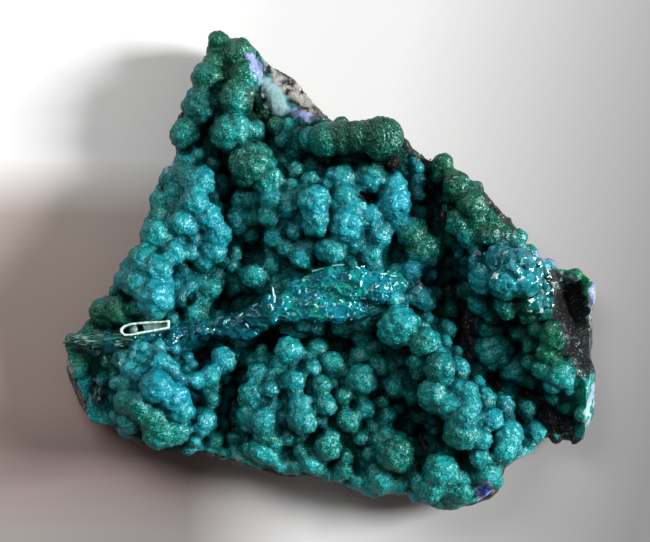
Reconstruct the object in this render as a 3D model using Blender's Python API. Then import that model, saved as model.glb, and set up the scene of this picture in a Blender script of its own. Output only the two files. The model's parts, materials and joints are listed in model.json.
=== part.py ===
"""A malachite specimen: one natural stone, a broken slab of dark host rock whose upper side is
covered by a botryoidal malachite crust, with a raised glassy vein running across it.

The whole stone is one solid. It lies on its broken back, crust side up. +X is its long side,
+Y runs towards its pointed top corner, and Z = 0 is the level that it rests on.
Lengths are written in millimetres and turned into metres by MM.
"""

import math

import bmesh
import bpy
from mathutils import Matrix, Vector, noise

MM = 0.001

# Driving dimensions
RIM_HEIGHT = 7.0  # the rock's surface near its edge, above the resting level
LOWEST_BED = 4.0  # no hollow in the crust reaches lower than this
HIGHEST = 30.0  # above everything, the top of the slab's cutter
KNOB_LIFT = 0.36  # a knob's centre stands this share of its radius above the rock
KNOB_SWELL = 0.93  # a knob's grown radius as a share of the listed one, and
KNOB_SWELL_MORE = 0.115  # how much that share rises with each millimetre of radius
VEIN_WIDTH, VEIN_HEIGHT = 1.12, 0.5  # the vein's balls are wider than listed, and flattened
PLAN_SCALE = 1.008  # the plan below is drawn this much under full size
SIDE_ROUGHNESS = 0.035  # the most that the break moves the side in or out, as a share
SIDE_LUMPS = 9.0  # the length of the break's lumps
BED_STEP = 1.6  # spacing of the points that carry the rock's upper surface
GRAIN = 0.6  # the smallest shape that the solid holds
KEEP_SHARE = 0.068  # share of that fine surface kept as facets
BED_HALF_X = 48.0
BED_HALF_Y = 44.0
MIDDLE_X, MIDDLE_Y = -0.2, 0.28  # the middle of the finished stone's box, in the lists' own frame

# The broken edge of the slab, seen from above, anticlockwise from the pointed top corner.
OUTLINE = [
    (-19.6, 39.6), (-20.3, 37.6), (-20.9, 35.0), (-22.4, 33.6), (-23.0, 31.0), (-24.4, 28.6),
    (-25.6, 26.0), (-26.2, 22.6), (-26.1, 19.6), (-27.4, 16.8), (-28.9, 14.6), (-29.8, 12.0),
    (-30.4, 9.8), (-31.2, 8.2), (-31.8, 5.6), (-32.0, 2.4), (-34.0, 0.9), (-35.8, -0.8),
    (-36.4, -3.6), (-38.8, -6.4), (-40.4, -8.2), (-42.5, -10.6), (-44.3, -11.7), (-44.8, -12.8),
    (-44.3, -14.0), (-44.6, -16.4), (-43.3, -18.4), (-41.9, -20.6), (-41.1, -23.4), (-39.9, -25.2),
    (-37.4, -26.4), (-35.4, -27.6), (-32.6, -28.3), (-29.8, -29.4), (-26.6, -30.2), (-22.0, -30.6),
    (-17.4, -31.8), (-12.6, -33.0), (-8.2, -34.2), (-4.0, -34.7), (-1.0, -34.9), (2.4, -36.1),
    (4.8, -37.2), (6.8, -38.1), (9.0, -37.5), (12.0, -37.5), (14.4, -38.6), (17.4, -39.6),
    (20.6, -39.8), (23.2, -39.0), (26.2, -38.0), (27.6, -36.6), (28.4, -34.4), (29.2, -32.9),
    (32.2, -31.3), (34.6, -29.8), (37.2, -29.0), (40.6, -29.3), (42.2, -28.0), (43.2, -24.2),
    (43.6, -19.4), (43.5, -13.8), (43.6, -8.6), (44.0, -5.0), (44.2, -2.2), (42.2, -0.6),
    (40.2, 0.3), (37.6, 0.5), (34.6, 1.5), (32.6, 3.1), (32.1, 4.8), (31.0, 6.8),
    (29.3, 8.6), (27.6, 9.7), (26.2, 12.2), (24.6, 13.8), (22.0, 16.0), (20.4, 17.6),
    (18.8, 19.4), (16.6, 19.0), (14.8, 20.2), (12.6, 21.2), (9.6, 24.4), (5.0, 24.6),
    (0.4, 24.8), (-1.0, 26.2), (-2.5, 28.2), (-4.4, 30.6), (-6.2, 32.6), (-9.2, 34.4),
    (-11.2, 36.0), (-12.6, 38.0), (-15.0, 39.0), (-17.2, 39.8),
]

# The slab's side, from its underside up: height, and the outline's size there.
SIDE_PROFILE = [
    (-1.5, 0.81), (0.6, 0.87), (2.6, 0.955), (4.6, 0.997), (8.0, 0.997), (12.0, 0.96),
    (HIGHEST, 0.91),
]

# Swells and hollows of the surface under the crust:
# x, y, rise (a hollow's is negative), half length, half width, turn of the length from +X in degrees.
SWELLS = [
    (-26.0, 6.0, 5.0, 14.0, 6.5, 66),  # left flank
    (-17.0, 30.0, 2.5, 10.0, 4.0, 105),  # pointed corner
    (-2.0, 10.0, 6.5, 14.0, 8.5, 0),  # middle, above the vein
    (4.5, 22.5, 5.5, 8.0, 3.0, -3),  # foot of the top finger
    (23.5, 8.5, 7.0, 11.0, 5.0, -52),  # right shoulder
    (30.0, -3.0, 9.0, 6.5, 5.0, -15),  # right mass
    (36.3, -14.0, 6.0, 7.5, 3.2, -68),  # right cluster
    (-8.0, -7.0, 5.2, 22.0, 3.2, 13),  # vein
    (3.5, -5.0, 3.4, 9.5, 4.6, -3),  # vein's broad end
    (20.0, -21.0, 9.0, 16.0, 4.2, -55),  # diagonal chain
    (-3.0, -22.0, 5.0, 13.0, 8.5, -10),  # lower middle
    (-29.5, -21.0, 6.0, 8.0, 6.0, -35),  # lower left
    (-33.0, -5.0, 4.0, 6.0, 5.0, 40),  # left corner
    (17.5, -35.0, 3.0, 6.0, 4.0, 0),  # lowest corner
    (17.4, 11.5, -6.5, 9.0, 2.3, -83),  # trench left of the shoulder
    (21.5, -6.0, -7.0, 6.0, 3.0, -78),  # deep hollow, upper half
    (26.5, -15.0, -7.0, 7.0, 3.8, -60),  # deep hollow, lower half
    (34.5, -24.5, -5.5, 7.0, 3.6, -35),  # hollow behind the right rim
    (40.2, -4.4, -5.5, 4.0, 1.9, -80),  # pocket under the right flap
    (-10.0, -11.4, -6.5, 5.0, 1.9, -4),  # under the vein
    (-20.6, -13.6, -5.5, 3.6, 2.0, 10),  # under the vein, further left
    (-15.6, -20.5, -6.0, 5.0, 2.4, 72),
    (-17.2, -5.6, -6.5, 5.0, 2.1, 12),  # above the vein
    (-17.4, 14.5, -5.5, 8.0, 2.0, -82),
    (-12.8, 3.6, -4.5, 3.0, 3.0, 0),
    (-12.2, 26.5, -4.0, 4.0, 1.6, -76),
    (4.0, 16.9, -3.0, 8.0, 1.3, -4),  # shade under the top finger
    (8.7, -10.5, -5.0, 3.0, 1.4, -60),
    (13.8, -27.5, -5.5, 5.5, 2.4, -60),
    (-38.4, -20.5, -4.0, 5.5, 1.9, -70),
    (-35.2, -4.8, -4.0, 2.6, 1.4, 20),
    (2.0, -12.8, -4.0, 3.0, 1.6, 0),
    (-23.0, -22.4, -4.0, 3.4, 1.3, -60),
    (-16.4, -27.2, -3.0, 3.0, 3.0, 0),
    (42.1, -22.6, 3.6, 6.5, 1.0, 84),  # thin wall along the right rim
    (38.0, -24.4, -3.0, 3.6, 2.4, -60),
]

# Knobs of the crust: x, y, radius and, where a knob stands higher or lower, its extra height.
KNOBS = {
    "pointed corner": [
        (-18.9, 38.6, 1.6), (-15.7, 36.2, 2.4, 0.4), (-19.4, 35.0, 1.7), (-17.4, 37.6, 1.2),
        (-20.5, 32.0, 2.5, 0.4), (-14.6, 32.3, 2.6, 0.5), (-17.4, 31.6, 1.3), (-15.8, 28.2, 2.6, 1.4),
        (-21.6, 27.5, 2.8, 0.5), (-19.5, 26.0, 1.6), (-17.6, 25.0, 1.3), (-19.4, 24.3, 1.6),
        (-24.3, 22.8, 2.3), (-16.5, 22.5, 2.9, 1.2), (-13.6, 22.8, 2.0, 0.4), (-13.9, 25.2, 1.4),
        (-12.2, 26.6, 1.9), (-13.2, 29.4, 1.3), (-17.0, 34.4, 1.4), (-18.3, 29.6, 1.3),
        (-23.4, 25.4, 1.3), (-12.0, 20.3, 1.0), (-10.3, 20.2, 0.9), (-9.6, 24.2, 1.5),
    ],
    "left flank": [
        (-22.2, 19.0, 1.2), (-19.8, 17.5, 1.4), (-18.3, 17.6, 0.9), (-18.8, 14.0, 1.8),
        (-22.0, 14.0, 2.5, 0.3), (-24.0, 15.3, 1.9), (-23.8, 17.6, 1.2), (-25.2, 18.3, 0.9),
        (-26.8, 14.8, 1.6), (-26.0, 12.4, 1.3), (-24.4, 12.0, 1.2), (-28.4, 11.0, 1.6),
        (-27.8, 8.5, 1.6), (-28.9, 5.2, 2.2, 0.3), (-27.4, 2.8, 1.3), (-26.0, 2.0, 1.8, 0.3),
        (-26.6, 6.6, 1.2), (-22.6, 10.3, 2.0, 0.8), (-20.4, 8.0, 2.0, 1.1), (-19.0, 5.2, 2.0, 1.2),
        (-19.7, 2.6, 1.9, 0.9), (-21.1, 0.9, 1.6, 0.4), (-23.5, 2.4, 1.3, 0.4),
        (-23.6, 6.5, 1.6, 0.4), (-22.8, 4.6, 1.3, 0.3), (-24.9, 6.8, 1.7, 0.6), (-24.7, 9.3, 1.3, 0.3),
        (-16.3, 2.7, 1.5), (-15.5, 4.5, 1.1),
    ],
    "left corner": [
        (-31.0, 0.4, 2.4, 0.3), (-28.8, -0.9, 2.4, 0.8), (-32.9, -0.5, 1.7), (-34.1, -2.3, 1.6),
        (-32.0, -3.3, 2.1, 0.4), (-29.2, -5.6, 2.8, 0.9), (-32.0, -7.0, 1.4), (-28.1, -3.0, 1.8, 0.7),
        (-26.3, -2.8, 1.4), (-25.6, -5.2, 1.4), (-23.6, -3.0, 1.2), (-21.7, -5.4, 1.9, 0.4),
        (-23.0, -7.6, 1.5), (-20.2, -3.2, 1.8), (-35.2, -7.4, 1.9), (-37.4, -7.4, 1.9),
        (-36.6, -9.0, 1.2), (-34.0, -8.8, 1.1), (-26.8, -8.4, 1.4), (-30.6, -8.6, 1.2),
    ],
    "lower left": [
        (-31.5, -14.5, 1.9), (-28.5, -16.2, 1.9, 0.3), (-26.5, -17.5, 1.6), (-25.5, -18.8, 1.5),
        (-24.0, -14.9, 1.1), (-24.0, -17.0, 0.9), (-33.0, -17.2, 1.4), (-31.5, -18.3, 1.4),
        (-35.3, -19.3, 1.2), (-34.6, -15.6, 1.4), (-28.6, -13.6, 1.3), (-26.0, -13.4, 1.1),
        (-17.8, -15.2, 1.9), (-20.2, -18.0, 1.6), (-22.6, -18.9, 1.5),
        (-28.5, -20.3, 2.4, 1.0), (-25.9, -21.9, 2.3, 1.0), (-24.8, -24.2, 2.0, 0.8),
        (-25.6, -26.9, 2.2, 0.6), (-28.2, -27.2, 2.6, 0.5), (-29.6, -25.0, 2.1, 0.9),
        (-31.6, -23.4, 2.0, 0.8), (-33.7, -22.4, 1.8, 0.5), (-32.9, -25.4, 1.7, 0.2),
        (-35.4, -24.4, 1.3), (-21.4, -25.6, 2.3, 0.5), (-19.3, -28.3, 1.4), (-22.6, -28.6, 1.1),
    ],
    "lower middle": [
        (-12.0, -18.0, 1.7), (-12.8, -21.2, 2.0, 0.5), (-9.0, -17.7, 1.0), (-6.0, -19.3, 1.7),
        (-5.0, -23.0, 1.7), (-4.7, -25.5, 2.0, 0.6), (-13.3, -25.1, 1.9, 0.3), (-14.4, -26.2, 1.4),
        (-11.0, -25.7, 2.0, 0.6), (-10.5, -27.5, 1.9, 0.3), (-9.3, -29.0, 1.4), (-11.4, -30.4, 1.8),
        (-13.5, -30.2, 1.2), (-9.9, -31.5, 1.4), (-8.4, -33.0, 1.0), (-9.0, -23.3, 1.2),
        (-7.9, -25.0, 1.0), (-0.8, -29.8, 1.9, 0.3), (-0.1, -27.9, 1.3), (-4.6, -30.6, 1.4),
        (-3.3, -32.2, 1.6), (-5.9, -33.1, 1.1), (-2.2, -33.2, 1.2), (-16.5, -23.4, 1.0),
        (-16.2, -28.2, 1.3), (-6.9, -14.0, 2.0, 0.6), (-2.2, -13.6, 1.6), (0.1, -15.9, 1.6),
        (-3.2, -17.0, 1.4), (-9.6, -20.4, 1.4), (-1.6, -20.0, 1.5), (-0.9, -23.2, 1.6),
        (2.0, -21.8, 1.3), (2.8, -25.5, 1.7), (5.8, -23.8, 1.5), (9.3, -25.0, 1.5),
        (11.0, -23.4, 1.2), (8.4, -22.6, 1.1), (5.0, -28.4, 1.2), (2.5, -31.5, 1.3),
        (2.4, -33.6, 1.3), (5.5, -9.0, 1.9, 0.3), (5.3, -11.2, 1.7), (2.0, -9.7, 1.8),
        (7.4, -13.2, 1.4), (5.0, -14.8, 1.6), (8.0, -16.6, 1.6), (5.0, -18.9, 2.3, 0.8),
        (10.8, -19.9, 1.6), (2.0, -17.4, 1.1), (1.6, -12.6, 1.3), (12.6, -26.6, 1.3),
        (14.4, -24.6, 1.2), (6.4, -31.0, 1.3), (4.6, -35.6, 1.2), (13.6, -29.0, 1.1),
    ],
    "diagonal chain": [
        (11.2, -10.4, 2.9, 1.4), (8.6, -9.9, 1.7), (15.5, -13.2, 2.0, 1.0), (14.9, -10.9, 1.4),
        (17.5, -15.2, 1.4, 0.6), (17.6, -17.4, 2.0, 1.0), (18.2, -19.2, 1.3, 0.5),
        (20.9, -17.4, 1.7, 0.2), (10.7, -13.8, 1.3), (11.5, -15.7, 1.0), (14.5, -16.1, 1.4),
        (14.8, -18.3, 1.2), (16.9, -21.7, 2.5, 1.2), (19.0, -23.6, 2.1, 1.0), (13.9, -21.4, 1.5),
        (21.3, -27.8, 2.5, 1.3), (21.7, -25.3, 1.8, 0.9), (20.0, -30.3, 1.5, 0.3),
        (22.2, -21.6, 1.8, 0.5), (20.6, -20.8, 1.3), (22.7, -23.2, 1.6, 0.4), (23.7, -19.7, 1.4),
        (28.0, -22.8, 2.2, 1.0), (25.0, -22.2, 1.8, 0.4), (26.3, -25.7, 1.8, 0.6),
        (29.0, -25.0, 1.4, 0.4), (28.7, -28.2, 2.4, 0.9), (28.2, -30.6, 1.8, 0.4),
        (24.6, -28.9, 1.6, 0.3), (24.3, -31.4, 1.8, 0.2), (26.4, -31.6, 1.2), (30.4, -26.8, 1.3),
        (25.8, -34.3, 1.8), (27.2, -35.6, 1.2), (23.4, -34.6, 1.2), (25.2, -36.6, 1.1),
        (30.2, -30.0, 1.3), (14.5, -30.6, 1.1), (17.6, -27.0, 1.2),
    ],
    "lowest corner": [
        (10.6, -30.9, 2.8, 1.2), (9.0, -28.9, 2.0, 0.6), (12.4, -32.9, 1.7, 0.4), (8.5, -35.2, 1.9, 0.2),
        (7.4, -33.8, 1.4), (11.3, -35.9, 1.4), (18.2, -33.9, 2.6, 0.8), (15.2, -32.8, 1.2),
        (21.5, -35.0, 1.5), (21.4, -37.2, 1.7), (19.1, -36.4, 1.4), (16.6, -36.7, 1.9),
        (14.6, -35.6, 1.5), (13.4, -34.4, 1.1), (19.5, -37.8, 1.1),
    ],
    "middle": [
        (-13.0, 17.0, 3.1, 0.9), (-10.5, 14.2, 2.3, 0.7), (-15.5, 19.0, 1.2), (-14.9, 11.2, 1.6),
        (-15.5, 8.0, 2.2, 0.2), (-13.4, 6.0, 1.4), (-9.6, 11.0, 1.8, 0.2), (-10.3, 8.3, 1.7),
        (-7.0, 11.0, 1.4), (-6.8, 9.2, 1.4), (-6.6, 13.3, 1.2), (-8.4, 13.4, 1.0),
        (-2.8, 10.2, 2.4, 0.6), (-2.4, 7.2, 2.3, 0.5), (-5.0, 11.8, 1.2), (-9.3, 5.3, 1.6),
        (-7.4, 3.0, 1.4), (-9.9, 3.0, 1.1), (-9.8, 0.6, 1.4), (-6.0, 5.8, 1.2), (-4.8, 1.6, 1.8),
        (-3.2, 3.6, 1.3), (0.0, 2.9, 2.4, 0.3), (-12.7, -1.3, 1.8), (-14.2, -0.6, 1.1),
        (1.5, 14.5, 2.3), (6.3, 14.8, 2.5, 0.8), (8.0, 16.4, 1.5, 0.3), (10.3, 13.3, 2.2, 0.9),
        (10.5, 10.4, 2.5, 0.9), (11.0, 7.9, 1.8, 0.5), (14.3, 17.0, 1.3), (14.6, 14.6, 1.4),
        (14.4, 12.4, 1.2), (13.6, 5.6, 2.4, 1.0), (15.4, 2.8, 2.6, 1.3), (16.6, 2.6, 1.8, 0.8),
        (16.9, 0.9, 1.3), (2.3, 11.4, 1.9), (3.6, 9.5, 1.9), (2.5, 6.5, 2.5, 0.8),
        (3.6, 4.2, 1.8, 0.3), (6.2, 8.0, 1.9, 0.2), (7.8, 5.3, 2.0, 0.2), (8.8, 3.5, 1.3),
        (6.6, 2.2, 1.8), (0.2, 10.0, 1.3), (-0.4, 13.2, 1.4), (13.5, -1.0, 1.8),
        (14.9, -5.4, 2.0, 0.5), (12.8, -5.6, 1.4), (10.3, -5.6, 1.6), (15.5, -8.6, 1.3),
        (-3.4, 14.2, 1.5), (-5.8, 16.0, 1.5), (-3.0, 17.0, 1.4), (-8.2, 17.6, 1.3),
        (-6.0, 19.2, 1.3), (-8.0, 21.6, 1.5), (-5.0, 22.4, 1.5), (-7.3, 24.1, 1.3), (-3.4, 20.0, 1.4),
        (-0.6, 18.0, 1.4), (2.0, 18.0, 1.2), (11.0, 18.5, 1.3), (4.6, 17.6, 1.0), (11.9, 16.2, 1.0),
    ],
    "top finger": [
        (-5.2, 20.6, 1.5, 0.6), (-3.2, 21.2, 1.9, 1.3), (-0.7, 20.8, 2.7, 2.2), (2.2, 20.9, 2.6, 1.8),
        (4.4, 21.0, 2.6, 1.9), (8.3, 20.8, 3.1, 2.9), (6.2, 18.6, 2.1, 1.0), (10.0, 18.4, 1.9, 0.4),
        (-0.6, 19.2, 2.1, 1.2), (2.0, 19.1, 2.2, 1.3), (4.6, 19.2, 2.2, 1.4),
    ],
    "right shoulder": [
        (18.5, 17.6, 1.6, 0.1), (18.3, 15.4, 1.5), (20.9, 12.9, 2.2, 0.2), (23.0, 11.9, 1.7, 0.1),
        (19.9, 15.3, 1.2), (20.2, 11.8, 1.4), (23.3, 9.7, 2.0, 0.3), (21.3, 7.2, 2.0, 0.3),
        (24.0, 7.0, 1.5), (20.3, 4.6, 1.5), (22.9, 4.8, 1.8, 0.2), (21.6, 2.6, 1.2),
        (26.5, 7.6, 1.8), (25.8, 4.8, 1.8), (25.6, 9.8, 1.3), (29.1, 4.8, 1.7), (28.4, 7.2, 1.2),
        (30.4, 3.0, 1.5), (27.9, 2.6, 1.4), (32.8, 2.0, 1.4), (31.2, 5.0, 1.2), (24.2, 2.4, 1.3),
    ],
    "right mass": [
        (25.4, -2.4, 2.4, 0.9), (27.6, 0.2, 2.2, 0.7), (30.2, -1.0, 2.4, 0.9), (28.4, -3.6, 2.4, 1.0),
        (31.6, -3.8, 2.2, 0.6), (29.0, -6.4, 2.2, 0.2), (25.2, -5.6, 2.2, 0.2), (32.6, -6.2, 1.9),
        (23.0, -3.6, 1.7, 0.3), (32.8, -1.2, 1.9, 0.3), (24.4, 0.2, 1.6, 0.2), (27.0, -7.4, 1.7),
        (34.6, -1.2, 1.8), (35.2, -4.0, 1.8), (34.9, -6.6, 1.7),
        (32.4, -8.2, 1.5), (31.4, -10.6, 1.6), (33.8, -10.6, 1.4), (36.6, -12.0, 2.3, 0.8),
        (35.2, -14.4, 1.5, 0.3), (33.3, -15.6, 1.4), (35.1, -17.0, 1.6, 0.2), (37.3, -17.8, 1.6),
        (33.4, -18.6, 1.3), (36.4, -19.4, 1.4), (38.8, -19.0, 1.3), (39.2, -16.4, 1.4),
        (40.6, -17.6, 1.2), (33.0, -13.0, 1.3),
    ],
    "deep hollow": [
        (19.0, -10.2, 1.7), (18.6, -12.6, 1.3), (20.6, -14.2, 1.3), (27.6, -13.6, 3.0),
        (31.0, -16.6, 2.6), (24.4, -17.4, 1.5), (27.0, -9.4, 2.2), (32.4, -23.2, 1.6),
        (33.8, -27.0, 1.8), (20.0, -6.6, 1.5), (29.6, -20.4, 1.4),
    ],
    "vein": [
        (-41.4, -12.9, 1.3), (-38.6, -12.7, 1.7), (-35.6, -12.5, 2.0), (-32.6, -11.9, 1.9),
        (-29.6, -11.4, 1.7), (-26.6, -11.0, 1.6), (-23.8, -10.6, 1.5), (-21.0, -10.3, 1.4),
        (-18.4, -10.0, 1.5), (-16.0, -9.8, 1.8), (-13.9, -9.6, 2.1), (-12.0, -8.4, 2.0),
        (-9.7, -7.2, 2.1), (-7.6, -7.2, 2.0), (-5.4, -4.6, 2.0), (-5.4, -7.2, 2.0),
        (-2.6, -3.6, 2.4), (-2.6, -6.8, 2.5), (0.8, -3.2, 2.6), (0.8, -6.8, 2.6), (4.2, -3.4, 2.6),
        (4.2, -6.8, 2.4), (7.6, -3.8, 2.5), (7.2, -6.6, 2.1), (10.4, -3.4, 2.2), (10.8, -5.6, 1.9),
        (12.4, -3.0, 1.3), (-5.0, -10.4, 1.4), (-7.2, -9.8, 1.3), (-2.4, -9.6, 1.4),
    ],
}


def bed_height(x, y):
    """Height of the rock's surface under the crust, in millimetres."""
    height = RIM_HEIGHT
    for centre_x, centre_y, rise, half_length, half_width, turn in SWELLS:
        angle = math.radians(turn)
        along = (x - centre_x) * math.cos(angle) + (y - centre_y) * math.sin(angle)
        across = (y - centre_y) * math.cos(angle) - (x - centre_x) * math.sin(angle)
        height += rise * math.exp(-((along / half_length) ** 2) - (across / half_width) ** 2)
    return max(height, LOWEST_BED)


def new_object(name, bm):
    mesh = bpy.data.meshes.new(name)
    bm.to_mesh(mesh)
    bm.free()
    obj = bpy.data.objects.new(name, mesh)
    bpy.context.scene.collection.objects.link(obj)
    return obj


def make_cutter(obj):
    obj.hide_render = True
    obj.display_type = "WIRE"
    return obj


def broken_side(x, y, height, size):
    """A point of the slab's side: the outline's point at this height, pushed in or out by the break."""
    rough = 1 + SIDE_ROUGHNESS * noise.noise(Vector((x, y, 2 * height)) / SIDE_LUMPS)
    spread = size * rough * PLAN_SCALE
    return Vector((x * spread, y * spread, height)) * MM


def slab_cutter():
    """The slab's broken sides: a ring of points for each level of SIDE_PROFILE, joined by faces."""
    bm = bmesh.new()
    rings = [
        [bm.verts.new(broken_side(x, y, height, size)) for x, y in OUTLINE]
        for height, size in SIDE_PROFILE
    ]
    for lower, upper in zip(rings, rings[1:]):
        for i in range(len(OUTLINE)):
            j = (i + 1) % len(OUTLINE)
            bm.faces.new((lower[i], lower[j], upper[j], upper[i]))
    for ring in (rings[0], rings[-1]):
        bm.faces.new(ring)
    bmesh.ops.recalc_face_normals(bm, faces=bm.faces)
    return make_cutter(new_object("slab_sides", bm))


def rock_bed(sides):
    """A block whose upper side follows bed_height, cut to the slab's sides."""
    bm = bmesh.new()
    bmesh.ops.create_grid(
        bm,
        x_segments=round(2 * BED_HALF_X / BED_STEP),
        y_segments=round(2 * BED_HALF_Y / BED_STEP),
        size=1.0,
        matrix=Matrix.Diagonal(
            (BED_HALF_X * PLAN_SCALE * MM, BED_HALF_Y * PLAN_SCALE * MM, 1.0, 1.0)
        ),
    )
    underside = list(bm.verts)
    whole = list(bm.faces) + list(bm.edges) + underside
    grown = bmesh.ops.extrude_face_region(bm, geom=whole, use_keep_orig=True)["geom"]
    for item in grown:
        if isinstance(item, bmesh.types.BMVert):
            x, y = item.co.xy / PLAN_SCALE / MM
            item.co.z = bed_height(x, y) * MM
    for vert in underside:
        vert.co.z = (SIDE_PROFILE[0][0] - 1.0) * MM
    bmesh.ops.recalc_face_normals(bm, faces=bm.faces)
    bed = make_cutter(new_object("rock_bed", bm))
    cut = bed.modifiers.new("broken sides", "BOOLEAN")
    cut.operation = "INTERSECT"
    cut.object = sides
    return bed


def add_ball(bm, x, y, z, radius, flattened=1.0):
    place = Vector((x * PLAN_SCALE, y * PLAN_SCALE, z)) * MM
    shape = Matrix.Translation(place) @ Matrix.Diagonal((1.0, 1.0, flattened, 1.0))
    bmesh.ops.create_icosphere(bm, subdivisions=2, radius=radius * MM, matrix=shape)


def add_knobs(bm):
    """The crust's knobs, each a ball sunk into the rock's surface, and the vein's flat run of balls."""
    for region, knobs in KNOBS.items():
        for x, y, radius, *extra in knobs:
            bed = bed_height(x, y)
            if region == "vein":
                add_ball(bm, x, y, bed, VEIN_WIDTH * radius, VEIN_HEIGHT)
                continue
            grown = radius * (KNOB_SWELL + KNOB_SWELL_MORE * radius)
            centre = bed + KNOB_LIFT * grown + sum(extra)
            add_ball(bm, x, y, centre, grown)
            add_ball(bm, x, y, (centre + bed - 0.5 * grown) / 2, 0.9 * grown)


def floor_cutter():
    """All that lies below the resting level."""
    bm = bmesh.new()
    bmesh.ops.create_cube(
        bm,
        size=1.0,
        matrix=Matrix.Translation((0, 0, -5 * MM)) @ Matrix.Diagonal((0.12, 0.12, 10 * MM, 1.0)),
    )
    return make_cutter(new_object("below_resting_level", bm))


def stone_material():
    material = bpy.data.materials.new("malachite")
    material.use_nodes = True
    shader = material.node_tree.nodes["Principled BSDF"]
    shader.inputs["Base Color"].default_value = (0.012, 0.19, 0.17, 1.0)
    shader.inputs["Roughness"].default_value = 0.45
    shader.inputs["Metallic"].default_value = 0.0
    return material


def malachite_specimen():
    bed = rock_bed(slab_cutter())
    graph = bpy.context.evaluated_depsgraph_get()
    bm = bmesh.new()
    bm.from_mesh(bed.evaluated_get(graph).to_mesh())
    add_knobs(bm)
    stone = new_object("malachite_specimen", bm)
    stone.data.materials.append(stone_material())

    grown = stone.modifiers.new("grown together", "REMESH")
    grown.mode = "VOXEL"
    grown.voxel_size = GRAIN * MM
    facets = stone.modifiers.new("facets", "DECIMATE")
    facets.ratio = KEEP_SHARE
    rest = stone.modifiers.new("flat resting face", "BOOLEAN")
    rest.operation = "DIFFERENCE"
    rest.object = floor_cutter()
    stone.location = (-MIDDLE_X * PLAN_SCALE * MM, -MIDDLE_Y * PLAN_SCALE * MM, 0.0)
    return stone


for old in list(bpy.data.objects):
    bpy.data.objects.remove(old)
malachite_specimen()
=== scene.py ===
import json
import math
import random

import bmesh
import bpy
import numpy as np
from mathutils import Matrix, Vector, kdtree, noise

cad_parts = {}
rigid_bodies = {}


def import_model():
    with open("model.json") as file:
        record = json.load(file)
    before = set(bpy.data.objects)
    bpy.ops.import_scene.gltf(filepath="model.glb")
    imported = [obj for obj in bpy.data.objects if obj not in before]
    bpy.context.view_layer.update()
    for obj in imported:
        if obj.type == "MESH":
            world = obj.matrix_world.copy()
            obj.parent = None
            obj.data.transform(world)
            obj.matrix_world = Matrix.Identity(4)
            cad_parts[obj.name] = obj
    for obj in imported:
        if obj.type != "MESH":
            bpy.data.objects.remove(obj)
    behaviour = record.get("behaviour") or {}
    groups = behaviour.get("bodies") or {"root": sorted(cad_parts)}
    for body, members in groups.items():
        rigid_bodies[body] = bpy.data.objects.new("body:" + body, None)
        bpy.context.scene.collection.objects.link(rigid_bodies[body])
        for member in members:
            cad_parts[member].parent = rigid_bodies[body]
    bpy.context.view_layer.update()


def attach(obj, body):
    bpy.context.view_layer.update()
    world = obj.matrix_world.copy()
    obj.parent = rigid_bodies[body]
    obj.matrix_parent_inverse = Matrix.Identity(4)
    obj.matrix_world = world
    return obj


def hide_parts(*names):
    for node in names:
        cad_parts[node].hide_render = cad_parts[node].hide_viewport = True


for old in list(bpy.data.objects):
    bpy.data.objects.remove(old)
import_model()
mm = 0.001
noise.seed_set(3)  # without a seed, noise_vector differs from run to run

# The stone's own plan, in millimetres: it lies on its back, crust up, its pointed corner towards +Y.
stone = {
    "rimHeight": 7.0,  # the rock's surface near its edge
    "lowestBed": 4.0,
    "middle": (-0.2, 0.28),  # the plan's middle, which the finished stone has at the origin
    "planScale": 1.008,
    "halfLength": 46.0,  # the plan's reach on each side of its own middle
    "halfWidth": 42.0,
    "knobLift": 0.36,  # share of its radius that a knob's centre stands above the bed
    "swell": 0.93,
    "swellMore": 0.115,  # large knobs swell more than small ones
}

outline = [
    (-19.6, 39.6), (-20.3, 37.6), (-20.9, 35.0), (-22.4, 33.6), (-23.0, 31.0), (-24.4, 28.6),
    (-25.6, 26.0), (-26.2, 22.6), (-26.1, 19.6), (-27.4, 16.8), (-28.9, 14.6), (-29.8, 12.0),
    (-30.4, 9.8), (-31.2, 8.2), (-31.8, 5.6), (-32.0, 2.4), (-34.0, 0.9), (-35.8, -0.8),
    (-36.4, -3.6), (-38.8, -6.4), (-40.4, -8.2), (-42.5, -10.6), (-44.3, -11.7), (-44.8, -12.8),
    (-44.3, -14.0), (-44.6, -16.4), (-43.3, -18.4), (-41.9, -20.6), (-41.1, -23.4), (-39.9, -25.2),
    (-37.4, -26.4), (-35.4, -27.6), (-32.6, -28.3), (-29.8, -29.4), (-26.6, -30.2), (-22.0, -30.6),
    (-17.4, -31.8), (-12.6, -33.0), (-8.2, -34.2), (-4.0, -34.7), (-1.0, -34.9), (2.4, -36.1),
    (4.8, -37.2), (6.8, -38.1), (9.0, -37.5), (12.0, -37.5), (14.4, -38.6), (17.4, -39.6),
    (20.6, -39.8), (23.2, -39.0), (26.2, -38.0), (27.6, -36.6), (28.4, -34.4), (29.2, -32.9),
    (32.2, -31.3), (34.6, -29.8), (37.2, -29.0), (40.6, -29.3), (42.2, -28.0), (43.2, -24.2),
    (43.6, -19.4), (43.5, -13.8), (43.6, -8.6), (44.0, -5.0), (44.2, -2.2), (42.2, -0.6),
    (40.2, 0.3), (37.6, 0.5), (34.6, 1.5), (32.6, 3.1), (32.1, 4.8), (31.0, 6.8),
    (29.3, 8.6), (27.6, 9.7), (26.2, 12.2), (24.6, 13.8), (22.0, 16.0), (20.4, 17.6),
    (18.8, 19.4), (16.6, 19.0), (14.8, 20.2), (12.6, 21.2), (9.6, 24.4), (5.0, 24.6),
    (0.4, 24.8), (-1.0, 26.2), (-2.5, 28.2), (-4.4, 30.6), (-6.2, 32.6), (-9.2, 34.4),
    (-11.2, 36.0), (-12.6, 38.0), (-15.0, 39.0), (-17.2, 39.8),
]

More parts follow.
